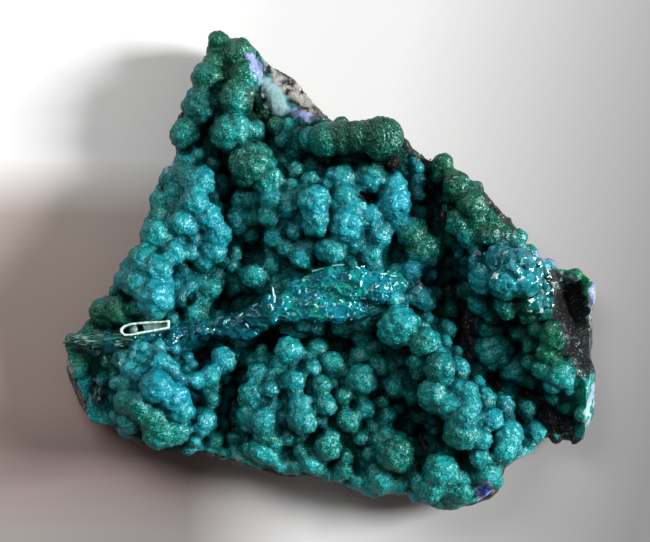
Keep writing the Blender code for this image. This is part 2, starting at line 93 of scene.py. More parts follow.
# x, y, rise, half length, half width, turn of the length from +X in degrees
swells = [
    (-26.0, 6.0, 5.0, 14.0, 6.5, 66),  # left flank
    (-17.0, 30.0, 2.5, 10.0, 4.0, 105),  # pointed corner
    (-2.0, 10.0, 6.5, 14.0, 8.5, 0),  # middle, above the vein
    (4.5, 22.5, 5.5, 8.0, 3.0, -3),  # foot of the top finger
    (23.5, 8.5, 7.0, 11.0, 5.0, -52),  # right shoulder
    (30.0, -3.0, 9.0, 6.5, 5.0, -15),  # right mass
    (36.3, -14.0, 6.0, 7.5, 3.2, -68),  # right cluster
    (-8.0, -7.0, 5.2, 22.0, 3.2, 13),  # vein
    (3.5, -5.0, 3.4, 9.5, 4.6, -3),  # vein's broad end
    (20.0, -21.0, 9.0, 16.0, 4.2, -55),  # diagonal chain
    (-3.0, -22.0, 5.0, 13.0, 8.5, -10),  # lower middle
    (-29.5, -21.0, 6.0, 8.0, 6.0, -35),  # lower left
    (-33.0, -5.0, 4.0, 6.0, 5.0, 40),  # left corner
    (17.5, -35.0, 3.0, 6.0, 4.0, 0),  # lowest corner
    (17.4, 11.5, -6.5, 9.0, 2.3, -83),  # trench left of the shoulder
    (21.5, -6.0, -7.0, 6.0, 3.0, -78),  # deep hollow, upper half
    (26.5, -15.0, -7.0, 7.0, 3.8, -60),  # deep hollow, lower half
    (34.5, -24.5, -5.5, 7.0, 3.6, -35),  # hollow behind the right rim
    (40.2, -4.4, -5.5, 4.0, 1.9, -80),  # pocket under the right flap
    (-10.0, -11.4, -6.5, 5.0, 1.9, -4),  # under the vein
    (-20.6, -13.6, -5.5, 3.6, 2.0, 10),  # under the vein, further left
    (-15.6, -20.5, -6.0, 5.0, 2.4, 72),
    (-17.2, -5.6, -6.5, 5.0, 2.1, 12),  # above the vein
    (-17.4, 14.5, -5.5, 8.0, 2.0, -82),
    (-12.8, 3.6, -4.5, 3.0, 3.0, 0),
    (-12.2, 26.5, -4.0, 4.0, 1.6, -76),
    (4.0, 16.9, -3.0, 8.0, 1.3, -4),  # shade under the top finger
    (8.7, -10.5, -5.0, 3.0, 1.4, -60),
    (13.8, -27.5, -5.5, 5.5, 2.4, -60),
    (-38.4, -20.5, -4.0, 5.5, 1.9, -70),
    (-35.2, -4.8, -4.0, 2.6, 1.4, 20),
    (2.0, -12.8, -4.0, 3.0, 1.6, 0),
    (-23.0, -22.4, -4.0, 3.4, 1.3, -60),
    (-16.4, -27.2, -3.0, 3.0, 3.0, 0),
    (42.1, -22.6, 3.6, 6.5, 1.0, 84),  # thin wall along the right rim
    (38.0, -24.4, -3.0, 3.6, 2.4, -60),
]

# x, y, radius and, where a knob stands proud, its extra height
knobs = {
    "pointed corner": [
        (-18.9, 38.6, 1.6), (-15.7, 36.2, 2.4, 0.4), (-19.4, 35.0, 1.7), (-17.4, 37.6, 1.2),
        (-20.5, 32.0, 2.5, 0.4), (-14.6, 32.3, 2.6, 0.5), (-17.4, 31.6, 1.3), (-15.8, 28.2, 2.6, 1.4),
        (-21.6, 27.5, 2.8, 0.5), (-19.5, 26.0, 1.6), (-17.6, 25.0, 1.3), (-19.4, 24.3, 1.6),
        (-24.3, 22.8, 2.3), (-16.5, 22.5, 2.9, 1.2), (-13.6, 22.8, 2.0, 0.4), (-13.9, 25.2, 1.4),
        (-12.2, 26.6, 1.9), (-13.2, 29.4, 1.3), (-17.0, 34.4, 1.4), (-18.3, 29.6, 1.3),
        (-23.4, 25.4, 1.3), (-12.0, 20.3, 1.0), (-10.3, 20.2, 0.9), (-9.6, 24.2, 1.5),
    ],
    "left flank": [
        (-22.2, 19.0, 1.2), (-19.8, 17.5, 1.4), (-18.3, 17.6, 0.9), (-18.8, 14.0, 1.8),
        (-22.0, 14.0, 2.5, 0.3), (-24.0, 15.3, 1.9), (-23.8, 17.6, 1.2), (-25.2, 18.3, 0.9),
        (-26.8, 14.8, 1.6), (-26.0, 12.4, 1.3), (-24.4, 12.0, 1.2), (-28.4, 11.0, 1.6),
        (-27.8, 8.5, 1.6), (-28.9, 5.2, 2.2, 0.3), (-27.4, 2.8, 1.3), (-26.0, 2.0, 1.8, 0.3),
        (-26.6, 6.6, 1.2), (-22.6, 10.3, 2.0, 0.8), (-20.4, 8.0, 2.0, 1.1), (-19.0, 5.2, 2.0, 1.2),
        (-19.7, 2.6, 1.9, 0.9), (-21.1, 0.9, 1.6, 0.4), (-23.5, 2.4, 1.3, 0.4),
        (-23.6, 6.5, 1.6, 0.4), (-22.8, 4.6, 1.3, 0.3), (-24.9, 6.8, 1.7, 0.6), (-24.7, 9.3, 1.3, 0.3),
        (-16.3, 2.7, 1.5), (-15.5, 4.5, 1.1),
    ],
    "left corner": [
        (-31.0, 0.4, 2.4, 0.3), (-28.8, -0.9, 2.4, 0.8), (-32.9, -0.5, 1.7), (-34.1, -2.3, 1.6),
        (-32.0, -3.3, 2.1, 0.4), (-29.2, -5.6, 2.8, 0.9), (-32.0, -7.0, 1.4), (-28.1, -3.0, 1.8, 0.7),
        (-26.3, -2.8, 1.4), (-25.6, -5.2, 1.4), (-23.6, -3.0, 1.2), (-21.7, -5.4, 1.9, 0.4),
        (-23.0, -7.6, 1.5), (-20.2, -3.2, 1.8), (-35.2, -7.4, 1.9), (-37.4, -7.4, 1.9),
        (-36.6, -9.0, 1.2), (-34.0, -8.8, 1.1), (-26.8, -8.4, 1.4), (-30.6, -8.6, 1.2),
    ],
    "lower left": [
        (-31.5, -14.5, 1.9), (-28.5, -16.2, 1.9, 0.3), (-26.5, -17.5, 1.6), (-25.5, -18.8, 1.5),
        (-24.0, -14.9, 1.1), (-24.0, -17.0, 0.9), (-33.0, -17.2, 1.4), (-31.5, -18.3, 1.4),
        (-35.3, -19.3, 1.2), (-34.6, -15.6, 1.4), (-28.6, -13.6, 1.3), (-26.0, -13.4, 1.1),
        (-17.8, -15.2, 1.9), (-20.2, -18.0, 1.6), (-22.6, -18.9, 1.5),
        (-28.5, -20.3, 2.4, 1.0), (-25.9, -21.9, 2.3, 1.0), (-24.8, -24.2, 2.0, 0.8),
        (-25.6, -26.9, 2.2, 0.6), (-28.2, -27.2, 2.6, 0.5), (-29.6, -25.0, 2.1, 0.9),
        (-31.6, -23.4, 2.0, 0.8), (-33.7, -22.4, 1.8, 0.5), (-32.9, -25.4, 1.7, 0.2),
        (-35.4, -24.4, 1.3), (-21.4, -25.6, 2.3, 0.5), (-19.3, -28.3, 1.4), (-22.6, -28.6, 1.1),
    ],
    "lower middle": [
        (-12.0, -18.0, 1.7), (-12.8, -21.2, 2.0, 0.5), (-9.0, -17.7, 1.0), (-6.0, -19.3, 1.7),
        (-5.0, -23.0, 1.7), (-4.7, -25.5, 2.0, 0.6), (-13.3, -25.1, 1.9, 0.3), (-14.4, -26.2, 1.4),
        (-11.0, -25.7, 2.0, 0.6), (-10.5, -27.5, 1.9, 0.3), (-9.3, -29.0, 1.4), (-11.4, -30.4, 1.8),
        (-13.5, -30.2, 1.2), (-9.9, -31.5, 1.4), (-8.4, -33.0, 1.0), (-9.0, -23.3, 1.2),
        (-7.9, -25.0, 1.0), (-0.8, -29.8, 1.9, 0.3), (-0.1, -27.9, 1.3), (-4.6, -30.6, 1.4),
        (-3.3, -32.2, 1.6), (-5.9, -33.1, 1.1), (-2.2, -33.2, 1.2), (-16.5, -23.4, 1.0),
        (-16.2, -28.2, 1.3), (-6.9, -14.0, 2.0, 0.6), (-2.2, -13.6, 1.6), (0.1, -15.9, 1.6),
        (-3.2, -17.0, 1.4), (-9.6, -20.4, 1.4), (-1.6, -20.0, 1.5), (-0.9, -23.2, 1.6),
        (2.0, -21.8, 1.3), (2.8, -25.5, 1.7), (5.8, -23.8, 1.5), (9.3, -25.0, 1.5),
        (11.0, -23.4, 1.2), (8.4, -22.6, 1.1), (5.0, -28.4, 1.2), (2.5, -31.5, 1.3),
        (2.4, -33.6, 1.3), (5.5, -9.0, 1.9, 0.3), (5.3, -11.2, 1.7), (2.0, -9.7, 1.8),
        (7.4, -13.2, 1.4), (5.0, -14.8, 1.6), (8.0, -16.6, 1.6), (5.0, -18.9, 2.3, 0.8),
        (10.8, -19.9, 1.6), (2.0, -17.4, 1.1), (1.6, -12.6, 1.3), (12.6, -26.6, 1.3),
        (14.4, -24.6, 1.2), (6.4, -31.0, 1.3), (4.6, -35.6, 1.2), (13.6, -29.0, 1.1),
    ],
    "diagonal chain": [
        (11.2, -10.4, 2.9, 1.4), (8.6, -9.9, 1.7), (15.5, -13.2, 2.0, 1.0), (14.9, -10.9, 1.4),
        (17.5, -15.2, 1.4, 0.6), (17.6, -17.4, 2.0, 1.0), (18.2, -19.2, 1.3, 0.5),
        (20.9, -17.4, 1.7, 0.2), (10.7, -13.8, 1.3), (11.5, -15.7, 1.0), (14.5, -16.1, 1.4),
        (14.8, -18.3, 1.2), (16.9, -21.7, 2.5, 1.2), (19.0, -23.6, 2.1, 1.0), (13.9, -21.4, 1.5),
        (21.3, -27.8, 2.5, 1.3), (21.7, -25.3, 1.8, 0.9), (20.0, -30.3, 1.5, 0.3),
        (22.2, -21.6, 1.8, 0.5), (20.6, -20.8, 1.3), (22.7, -23.2, 1.6, 0.4), (23.7, -19.7, 1.4),
        (28.0, -22.8, 2.2, 1.0), (25.0, -22.2, 1.8, 0.4), (26.3, -25.7, 1.8, 0.6),
        (29.0, -25.0, 1.4, 0.4), (28.7, -28.2, 2.4, 0.9), (28.2, -30.6, 1.8, 0.4),
        (24.6, -28.9, 1.6, 0.3), (24.3, -31.4, 1.8, 0.2), (26.4, -31.6, 1.2), (30.4, -26.8, 1.3),
        (25.8, -34.3, 1.8), (27.2, -35.6, 1.2), (23.4, -34.6, 1.2), (25.2, -36.6, 1.1),
        (30.2, -30.0, 1.3), (14.5, -30.6, 1.1), (17.6, -27.0, 1.2),
    ],
    "lowest corner": [
        (10.6, -30.9, 2.8, 1.2), (9.0, -28.9, 2.0, 0.6), (12.4, -32.9, 1.7, 0.4), (8.5, -35.2, 1.9, 0.2),
        (7.4, -33.8, 1.4), (11.3, -35.9, 1.4), (18.2, -33.9, 2.6, 0.8), (15.2, -32.8, 1.2),
        (21.5, -35.0, 1.5), (21.4, -37.2, 1.7), (19.1, -36.4, 1.4), (16.6, -36.7, 1.9),
        (14.6, -35.6, 1.5), (13.4, -34.4, 1.1), (19.5, -37.8, 1.1),
    ],
    "middle": [
        (-13.0, 17.0, 3.1, 0.9), (-10.5, 14.2, 2.3, 0.7), (-15.5, 19.0, 1.2), (-14.9, 11.2, 1.6),
        (-15.5, 8.0, 2.2, 0.2), (-13.4, 6.0, 1.4), (-9.6, 11.0, 1.8, 0.2), (-10.3, 8.3, 1.7),
        (-7.0, 11.0, 1.4), (-6.8, 9.2, 1.4), (-6.6, 13.3, 1.2), (-8.4, 13.4, 1.0),
        (-2.8, 10.2, 2.4, 0.6), (-2.4, 7.2, 2.3, 0.5), (-5.0, 11.8, 1.2), (-9.3, 5.3, 1.6),
        (-7.4, 3.0, 1.4), (-9.9, 3.0, 1.1), (-9.8, 0.6, 1.4), (-6.0, 5.8, 1.2), (-4.8, 1.6, 1.8),
        (-3.2, 3.6, 1.3), (0.0, 2.9, 2.4, 0.3), (-12.7, -1.3, 1.8), (-14.2, -0.6, 1.1),
        (1.5, 14.5, 2.3), (6.3, 14.8, 2.5, 0.8), (8.0, 16.4, 1.5, 0.3), (10.3, 13.3, 2.2, 0.9),
        (10.5, 10.4, 2.5, 0.9), (11.0, 7.9, 1.8, 0.5), (14.3, 17.0, 1.3), (14.6, 14.6, 1.4),
        (14.4, 12.4, 1.2), (13.6, 5.6, 2.4, 1.0), (15.4, 2.8, 2.6, 1.3), (16.6, 2.6, 1.8, 0.8),
        (16.9, 0.9, 1.3), (2.3, 11.4, 1.9), (3.6, 9.5, 1.9), (2.5, 6.5, 2.5, 0.8),
        (3.6, 4.2, 1.8, 0.3), (6.2, 8.0, 1.9, 0.2), (7.8, 5.3, 2.0, 0.2), (8.8, 3.5, 1.3),
        (6.6, 2.2, 1.8), (0.2, 10.0, 1.3), (-0.4, 13.2, 1.4), (13.5, -1.0, 1.8),
        (14.9, -5.4, 2.0, 0.5), (12.8, -5.6, 1.4), (10.3, -5.6, 1.6), (15.5, -8.6, 1.3),
        (-3.4, 14.2, 1.5), (-5.8, 16.0, 1.5), (-3.0, 17.0, 1.4), (-8.2, 17.6, 1.3),
        (-6.0, 19.2, 1.3), (-8.0, 21.6, 1.5), (-5.0, 22.4, 1.5), (-7.3, 24.1, 1.3), (-3.4, 20.0, 1.4),
        (-0.6, 18.0, 1.4), (2.0, 18.0, 1.2), (11.0, 18.5, 1.3), (4.6, 17.6, 1.0), (11.9, 16.2, 1.0),
    ],
    "top finger": [
        (-5.2, 20.6, 1.5, 0.6), (-3.2, 21.2, 1.9, 1.3), (-0.7, 20.8, 2.7, 2.2), (2.2, 20.9, 2.6, 1.8),
        (4.4, 21.0, 2.6, 1.9), (8.3, 20.8, 3.1, 2.9), (6.2, 18.6, 2.1, 1.0), (10.0, 18.4, 1.9, 0.4),
        (-0.6, 19.2, 2.1, 1.2), (2.0, 19.1, 2.2, 1.3), (4.6, 19.2, 2.2, 1.4),
    ],
    "right shoulder": [
        (18.5, 17.6, 1.6, 0.1), (18.3, 15.4, 1.5), (20.9, 12.9, 2.2, 0.2), (23.0, 11.9, 1.7, 0.1),
        (19.9, 15.3, 1.2), (20.2, 11.8, 1.4), (23.3, 9.7, 2.0, 0.3), (21.3, 7.2, 2.0, 0.3),
        (24.0, 7.0, 1.5), (20.3, 4.6, 1.5), (22.9, 4.8, 1.8, 0.2), (21.6, 2.6, 1.2),
        (26.5, 7.6, 1.8), (25.8, 4.8, 1.8), (25.6, 9.8, 1.3), (29.1, 4.8, 1.7), (28.4, 7.2, 1.2),
        (30.4, 3.0, 1.5), (27.9, 2.6, 1.4), (32.8, 2.0, 1.4), (31.2, 5.0, 1.2), (24.2, 2.4, 1.3),
    ],
    "right mass": [
        (25.4, -2.4, 2.4, 0.9), (27.6, 0.2, 2.2, 0.7), (30.2, -1.0, 2.4, 0.9), (28.4, -3.6, 2.4, 1.0),
        (31.6, -3.8, 2.2, 0.6), (29.0, -6.4, 2.2, 0.2), (25.2, -5.6, 2.2, 0.2), (32.6, -6.2, 1.9),
        (23.0, -3.6, 1.7, 0.3), (32.8, -1.2, 1.9, 0.3), (24.4, 0.2, 1.6, 0.2), (27.0, -7.4, 1.7),
        (34.6, -1.2, 1.8), (35.2, -4.0, 1.8), (34.9, -6.6, 1.7),
        (32.4, -8.2, 1.5), (31.4, -10.6, 1.6), (33.8, -10.6, 1.4), (36.6, -12.0, 2.3, 0.8),
        (35.2, -14.4, 1.5, 0.3), (33.3, -15.6, 1.4), (35.1, -17.0, 1.6, 0.2), (37.3, -17.8, 1.6),
        (33.4, -18.6, 1.3), (36.4, -19.4, 1.4), (38.8, -19.0, 1.3), (39.2, -16.4, 1.4),
        (40.6, -17.6, 1.2), (33.0, -13.0, 1.3),
    ],
    "deep hollow": [
        (19.0, -10.2, 1.7), (18.6, -12.6, 1.3), (20.6, -14.2, 1.3), (27.6, -13.6, 3.0),
        (31.0, -16.6, 2.6), (24.4, -17.4, 1.5), (27.0, -9.4, 2.2), (32.4, -23.2, 1.6),
        (33.8, -27.0, 1.8), (20.0, -6.6, 1.5), (29.6, -20.4, 1.4),
    ],
    "vein": [
        (-41.4, -12.9, 1.3), (-38.6, -12.7, 1.7), (-35.6, -12.5, 2.0), (-32.6, -11.9, 1.9),
        (-29.6, -11.4, 1.7), (-26.6, -11.0, 1.6), (-23.8, -10.6, 1.5), (-21.0, -10.3, 1.4),
        (-18.4, -10.0, 1.5), (-16.0, -9.8, 1.8), (-13.9, -9.6, 2.1), (-12.0, -8.4, 2.0),
        (-9.7, -7.2, 2.1), (-7.6, -7.2, 2.0), (-5.4, -4.6, 2.0), (-5.4, -7.2, 2.0),
        (-2.6, -3.6, 2.4), (-2.6, -6.8, 2.5), (0.8, -3.2, 2.6), (0.8, -6.8, 2.6), (4.2, -3.4, 2.6),
        (4.2, -6.8, 2.4), (7.6, -3.8, 2.5), (7.2, -6.6, 2.1), (10.4, -3.4, 2.2), (10.8, -5.6, 1.9),
        (12.4, -3.0, 1.3), (-5.0, -10.4, 1.4), (-7.2, -9.8, 1.3), (-2.4, -9.6, 1.4),
    ],
}


def inMetres(x, y, z):
    # a point of the plan, moved so that the stone's middle is at the origin
    spread = stone["planScale"]
    return Vector(((x - stone["middle"][0]) * spread, (y - stone["middle"][1]) * spread, z)) * mm


def bedHeight(x, y):
    height = stone["rimHeight"]
    for cx, cy, rise, halfLength, halfWidth, turn in swells:
        angle = math.radians(turn)
        along = (x - cx) * math.cos(angle) + (y - cy) * math.sin(angle)
        across = (y - cy) * math.cos(angle) - (x - cx) * math.sin(angle)
        height += rise * math.exp(-((along / halfLength) ** 2) - (across / halfWidth) ** 2)
    return max(height, stone["lowestBed"])


def insideOutline(x, y, size):
    # counts how often a ray to the right crosses the outline
    inside = False
    for (ax, ay), (bx, by) in zip(outline, outline[1:] + outline[:1]):
        if (ay * size > y) != (by * size > y):
            if x < size * (ax + (bx - ax) * (y / size - ay) / (by - ay)):
                inside = not inside
    return inside


def softSpot(points, spot):
    # 1 in the middle of a turned oval patch, fading out to 0 round it
    cx, cy, halfLength, halfWidth, turn = spot
    angle = math.radians(turn)
    dx, dy = points[:, 0] - cx, points[:, 1] - cy
    along = (dx * math.cos(angle) + dy * math.sin(angle)) / halfLength
    across = (dy * math.cos(angle) - dx * math.sin(angle)) / halfWidth
    return np.clip(1.6 - 1.1 * np.sqrt(along**2 + across**2), 0, 1)


def spots(points, patches):
    total = np.zeros(len(points))
    for patch in patches:
        total = np.maximum(total, softSpot(points, patch[:5]) * (patch[5] if len(patch) > 5 else 1))
    return total


def linkMesh(name, mesh):
    obj = bpy.data.objects.new(name, mesh)
    bpy.context.scene.collection.objects.link(obj)
    return obj


def meshOf(name, bm):
    mesh = bpy.data.meshes.new(name)
    bm.to_mesh(mesh)
    bm.free()
    return mesh


def finished(obj):
    # the object's mesh with its modifiers applied, in a mesh of its own
    graph = bpy.context.evaluated_depsgraph_get()
    mesh = bpy.data.meshes.new_from_object(obj.evaluated_get(graph), depsgraph=graph)
    mesh.name = obj.name
    bpy.data.objects.remove(obj)
    return mesh


def grownTogether(name, bm, voxel, softened=0):
    obj = linkMesh(name, meshOf(name, bm))
    grown = obj.modifiers.new("grown together", "REMESH")
    grown.mode = "VOXEL"
    grown.voxel_size = voxel * mm
    grown.use_smooth_shade = True
    if softened:
        soft = obj.modifiers.new("softened", "SMOOTH")
        soft.factor = 0.6
        soft.iterations = softened
    return finished(obj)


def vectorsOf(items, label, count):
    flat = np.empty(count * 3)
    items.foreach_get(label, flat)
    return flat.reshape(-1, 3)


def normalsOf(mesh):
    return vectorsOf(mesh.vertex_normals, "vector", len(mesh.vertices))


def pointsOf(mesh):
    # the mesh's points in plan millimetres
    points = vectorsOf(mesh.vertices, "co", len(mesh.vertices)) / mm
    points[:, :2] = points[:, :2] / stone["planScale"] + stone["middle"]
    return points


def moveAlongNormals(mesh, heights):
    co = vectorsOf(mesh.vertices, "co", len(mesh.vertices))
    co = co + normalsOf(mesh) * np.asarray(heights)[:, None] * mm
    mesh.vertices.foreach_set("co", co.ravel())
    mesh.update()


def flatFloor(mesh, height):
    # cuts the mesh off level at this height and closes it with one face
    bm = bmesh.new()
    bm.from_mesh(mesh)
    whole = list(bm.verts) + list(bm.edges) + list(bm.faces)
    bmesh.ops.bisect_plane(
        bm, geom=whole, plane_co=(0, 0, height * mm), plane_no=(0, 0, 1), clear_inner=True
    )
    bmesh.ops.holes_fill(bm, edges=[edge for edge in bm.edges if edge.is_boundary], sides=0)
    bm.to_mesh(mesh)
    bm.free()


def sidesCutter(profile, roughness, lumps):
    # the outline swept up through the profile's sizes, pushed in and out by the break
    bm = bmesh.new()
    rings = []
    for height, size in profile:
        ring = []
        for x, y in outline:
            rough = 1 + roughness * noise.noise(Vector((x, y, 2 * height)) / lumps)
            ring.append(bm.verts.new(inMetres(x * size * rough, y * size * rough, height)))
        bmesh.ops.contextual_create(bm, geom=ring)
        rings.append([edge for edge in bm.edges if all(v in ring for v in edge.verts)])
    for face in list(bm.faces):
        bm.faces.remove(face)
    for lower, upper in zip(rings, rings[1:]):
        bmesh.ops.bridge_loops(bm, edges=lower + upper)
    bmesh.ops.holes_fill(bm, edges=bm.edges, sides=0)
    bmesh.ops.recalc_face_normals(bm, faces=bm.faces)
    return linkMesh("sidesCutter", meshOf("sidesCutter", bm))


def bedBlock(west, east, south, north, step, sink, floor, cutter):
    # a block over this part of the plan whose top follows the bed, cut to the stone's sides
    bm = bmesh.new()
    middle = inMetres((west + east) / 2, (south + north) / 2, floor)
    halfX = (east - west) / 2 * mm * stone["planScale"]
    halfY = (north - south) / 2 * mm * stone["planScale"]
    bmesh.ops.create_grid(
        bm,
        x_segments=round((east - west) / step),
        y_segments=round((north - south) / step),
        size=1.0,
        matrix=Matrix.Translation(middle) @ Matrix.Diagonal((halfX, halfY, 1.0, 1.0)),
    )
    underside = list(bm.verts)
    whole = list(bm.faces) + list(bm.edges) + underside
    for item in bmesh.ops.extrude_face_region(bm, geom=whole, use_keep_orig=True)["geom"]:
        if isinstance(item, bmesh.types.BMVert):
            x = item.co.x / mm / stone["planScale"] + stone["middle"][0]
            y = item.co.y / mm / stone["planScale"] + stone["middle"][1]
            item.co.z = (bedHeight(x, y) - sink) * mm
    bmesh.ops.recalc_face_normals(bm, faces=bm.faces)
    obj = linkMesh("bedBlock", meshOf("bedBlock", bm))
    cut = obj.modifiers.new("broken sides", "BOOLEAN")
    cut.operation = "INTERSECT"
    cut.object = cutter
    cut.solver = "MANIFOLD"
    return finished(obj)


# The crust is grown in stretches that overlap a little, so that no piece is too heavy.
crust = {
    "voxel": 0.19,
    "softened": 12,
    "overlap": 0.9,  # how far one stretch of crust runs under the next
    "floor": 2.4,
    "lobes": 5,  # small lobes on a knob, and more of them per millimetre of its radius
    "moreLobes": 6.0,
    "lobeSize": (0.25, 0.70),
    "lobeShare": 0.24,
    "lobeProud": 1.10,
    "lobedFrom": 1.15,  # smaller knobs have no lobes
    "smoothRow": "top finger",  # nor do the knobs of this row
    "smallKnob": 2.4,  # knobs under this radius are grown by the next factor, to touch each other
    "smallGrowth": 1.12,
    "fillerGap": 2.0,
    "fillerSize": (1.0, 2.0),
    "fillerLift": (-0.75, 0.05),
    "fillerShift": 0.4,  # share of the gap that a filler knob may be out of its row
    "fillerRim": 0.975,  # share of the outline's size that they keep inside
    "fillerLoss": 0.45,  # share of them left out in the pockets of painted shade
    "clearOfKnob": 0.7,  # they keep this many radii from a placed knob
    "clearOfVein": 1.4,  # and this many from the narrow part of the vein
    "veinBroadFrom": -8.0,
    "lumpCell": 1.15,
    "lumpHeight": 0.11,
    "grainCell": 0.42,
    "grainHeight": 0.12,
    "bendLength": 3.0,
    "bendHeight": 0.42,
    "finger": (4.5, 21.0, 9.5, 5.5, 0),
    "fingerFrom": 15.0,  # it starts at this height
    "ridgeCell": 0.62,
    "ridgeHeight": 0.26,
    "sleek": [(-9.3, 28.8, 3.8, 2.1, -60)],  # patches with hardly any druse on them
}
crustSides = [(2.0, 0.94), (5.0, 0.975), (6.5, 0.997), (9.0, 1.0), (14.0, 0.97), (32.0, 0.93)]
stretches = {
    # west, east, south, north
    "crustPeak": (-32, -1, 16, 43),
    "crustFinger": (-1, 16, 16, 30),
    "crustWest": (-48, -17, -10, 16),
    "crustNorth": (-17, 0, -8, 16),
    "crustMiddle": (0, 16, -8, 16),
    "crustShoulder": (16, 48, 2, 30),
    "crustEast": (16, 48, -10, 2),
    "crustSouthWest": (-48, -17, -36, -10),
    "crustSouth": (-17, 0, -44, -8),
    "crustChain": (0, 16, -44, -8),
    "crustCorner": (16, 28, -44, -10),
    "crustSouthEast": (28, 48, -44, -10),
}

rockSpots = [
    (40.4, -9.5, 8.5, 3.6, -72), (38.6, -3.0, 3.5, 2.6, -20), (41.8, -15.0, 3.4, 2.2, 90),
    (27.8, 9.8, 4.6, 1.5, -52), (13.4, 20.4, 1.6, 1.0, -20), (10.4, 17.2, 1.6, 0.8, 40),
    (15.8, 18.8, 1.3, 1.0, 0), (5.9, 10.9, 1.5, 0.8, 10), (-6.0, 30.8, 7.2, 2.0, -46),
    (-43.0, -19.4, 5.4, 0.9, -68), (-37.0, -27.2, 4.4, 0.8, -30), (-18.0, -31.6, 4.0, 0.5, -14),
]


def ballShape(facets):
    # the points and triangles of one ball of radius 1
    bm = bmesh.new()
    bmesh.ops.create_icosphere(bm, subdivisions=facets, radius=1.0)
    bm.verts.ensure_lookup_table()
    points = np.array([vert.co for vert in bm.verts])
    corners = np.array([[vert.index for vert in face.verts] for face in bm.faces])
    bm.free()
    return points, corners


ballShapes = {facets: ballShape(facets) for facets in (2, 3)}


def ballAt(pile, x, y, z, radius, facets, squash=1.0):
    pile.setdefault(facets, []).append((*inMetres(x, y, z), radius * mm, squash))


def addPile(bm, pile):
    # copies the ball for every place in the pile, all at once
    for facets, places in pile.items():
        points, corners = ballShapes[facets]
        balls = np.array(places)
        shaped = points[None, :, :] * np.ones((len(balls), 1, 3))
        shaped[:, :, 2] *= balls[:, 4, None]
        copies = balls[:, None, :3] + balls[:, None, 3:4] * shaped
        joined = corners[None, :, :] + len(points) * np.arange(len(balls))[:, None, None]
        mesh = bpy.data.meshes.new("pile")
        mesh.from_pydata(copies.reshape(-1, 3), [], joined.reshape(-1, 3))
        bm.from_mesh(mesh)
        bpy.data.meshes.remove(mesh)


def knobCentres():
    # every placed knob: its region, place, radius
    found = []
    for region, row in knobs.items():
        for x, y, radius, *extra in row:
            swelled = radius * (stone["swell"] + stone["swellMore"] * radius)
            height = bedHeight(x, y) + stone["knobLift"] * swelled + sum(extra)
            found.append((region, x, y, height, swelled))
    return found


def lobesOn(pile, draw, x, y, z, radius):
    turn = draw.uniform(0, 6.28)
    count = round(crust["lobes"] + crust["moreLobes"] * radius)
    for i in range(count):
        up = 1 - 1.25 * (i + 0.5) / count
        around = turn + 2.4 * i + draw.uniform(-0.3, 0.3)
        level = math.sqrt(max(0, 1 - up * up))
        size = draw.uniform(*crust["lobeSize"]) + crust["lobeShare"] * radius
        out = crust["lobeProud"] * radius - size
        ballAt(
            pile,
            x + out * level * math.cos(around),
            y + out * level * math.sin(around),
            z + out * up,
            size,
            2,
        )


def clearance(knob):
    # in radii of the knob
    narrowVein = knob[0] == "vein" and knob[1] < crust["veinBroadFrom"]
    return crust["clearOfVein"] if narrowVein else crust["clearOfKnob"]


def fillerKnobs(draw, centres):
    # small knobs that cover the bed between the placed ones
    gap = crust["fillerGap"]
    found = []
    shift = crust["fillerShift"]
    west, south = -stone["halfLength"], -stone["halfWidth"]
    for row in range(int(-2 * south / gap)):
        for column in range(int(-2 * west / gap)):
            x = west + (column + (row % 2) / 2) * gap + draw.uniform(-shift, shift) * gap
            y = south + row * gap + draw.uniform(-shift, shift) * gap
            size = draw.uniform(*crust["fillerSize"])
            lift = draw.uniform(*crust["fillerLift"])
            if not insideOutline(x, y, crust["fillerRim"]):
                continue
            spot = np.array([[x, y]])
            if spots(spot, rockSpots + crust["sleek"])[0] > 0.5:
                continue
            if draw.random() < crust["fillerLoss"] * spots(spot, tones["shadedPockets"])[0]:
                continue
            if any(math.hypot(x - k[1], y - k[2]) < clearance(k) * k[4] for k in centres):
                continue
            found.append((x, y, bedHeight(x, y) + lift * size, size))
    return found


def rounded(spot, cell):
    # 1 over most of each cell, falling to 0 where two cells meet
    near = noise.voronoi(spot / cell)[0]
    return math.sqrt(min(1, (near[1] - near[0]) / 0.5))


def druseHeights(points):
    # coarser ridges on the smooth finger, lumps and fine grain everywhere else
    heights = np.empty(len(points))
    finger = softSpot(points, crust["finger"]) * np.clip((points[:, 2] - crust["fingerFrom"]) / 2, 0, 1)
    sleek = spots(points, crust["sleek"])
    for i, p in enumerate(points):
        spot = Vector(p)
        bend = noise.noise(spot / crust["bendLength"]) * crust["bendHeight"]
        lump = rounded(spot, crust["lumpCell"]) * crust["lumpHeight"]
        grain = rounded(spot, crust["grainCell"]) * crust["grainHeight"]
        if finger[i] > 0:
            stretched = Vector((spot.x, 0.45 * spot.y, 0.45 * spot.z))
            wrinkle = 1 - min(1, abs(noise.noise(stretched / crust["ridgeCell"])) / 0.3)
            lump += finger[i] * (wrinkle * crust["ridgeHeight"] - lump)
            grain *= 1 - 0.7 * finger[i]
            bend *= 1 - 0.6 * finger[i]
        relief = bend + lump + grain - crust["lumpHeight"] - crust["grainHeight"]
        heights[i] = relief * (1 - 0.85 * sleek[i])
    return heights


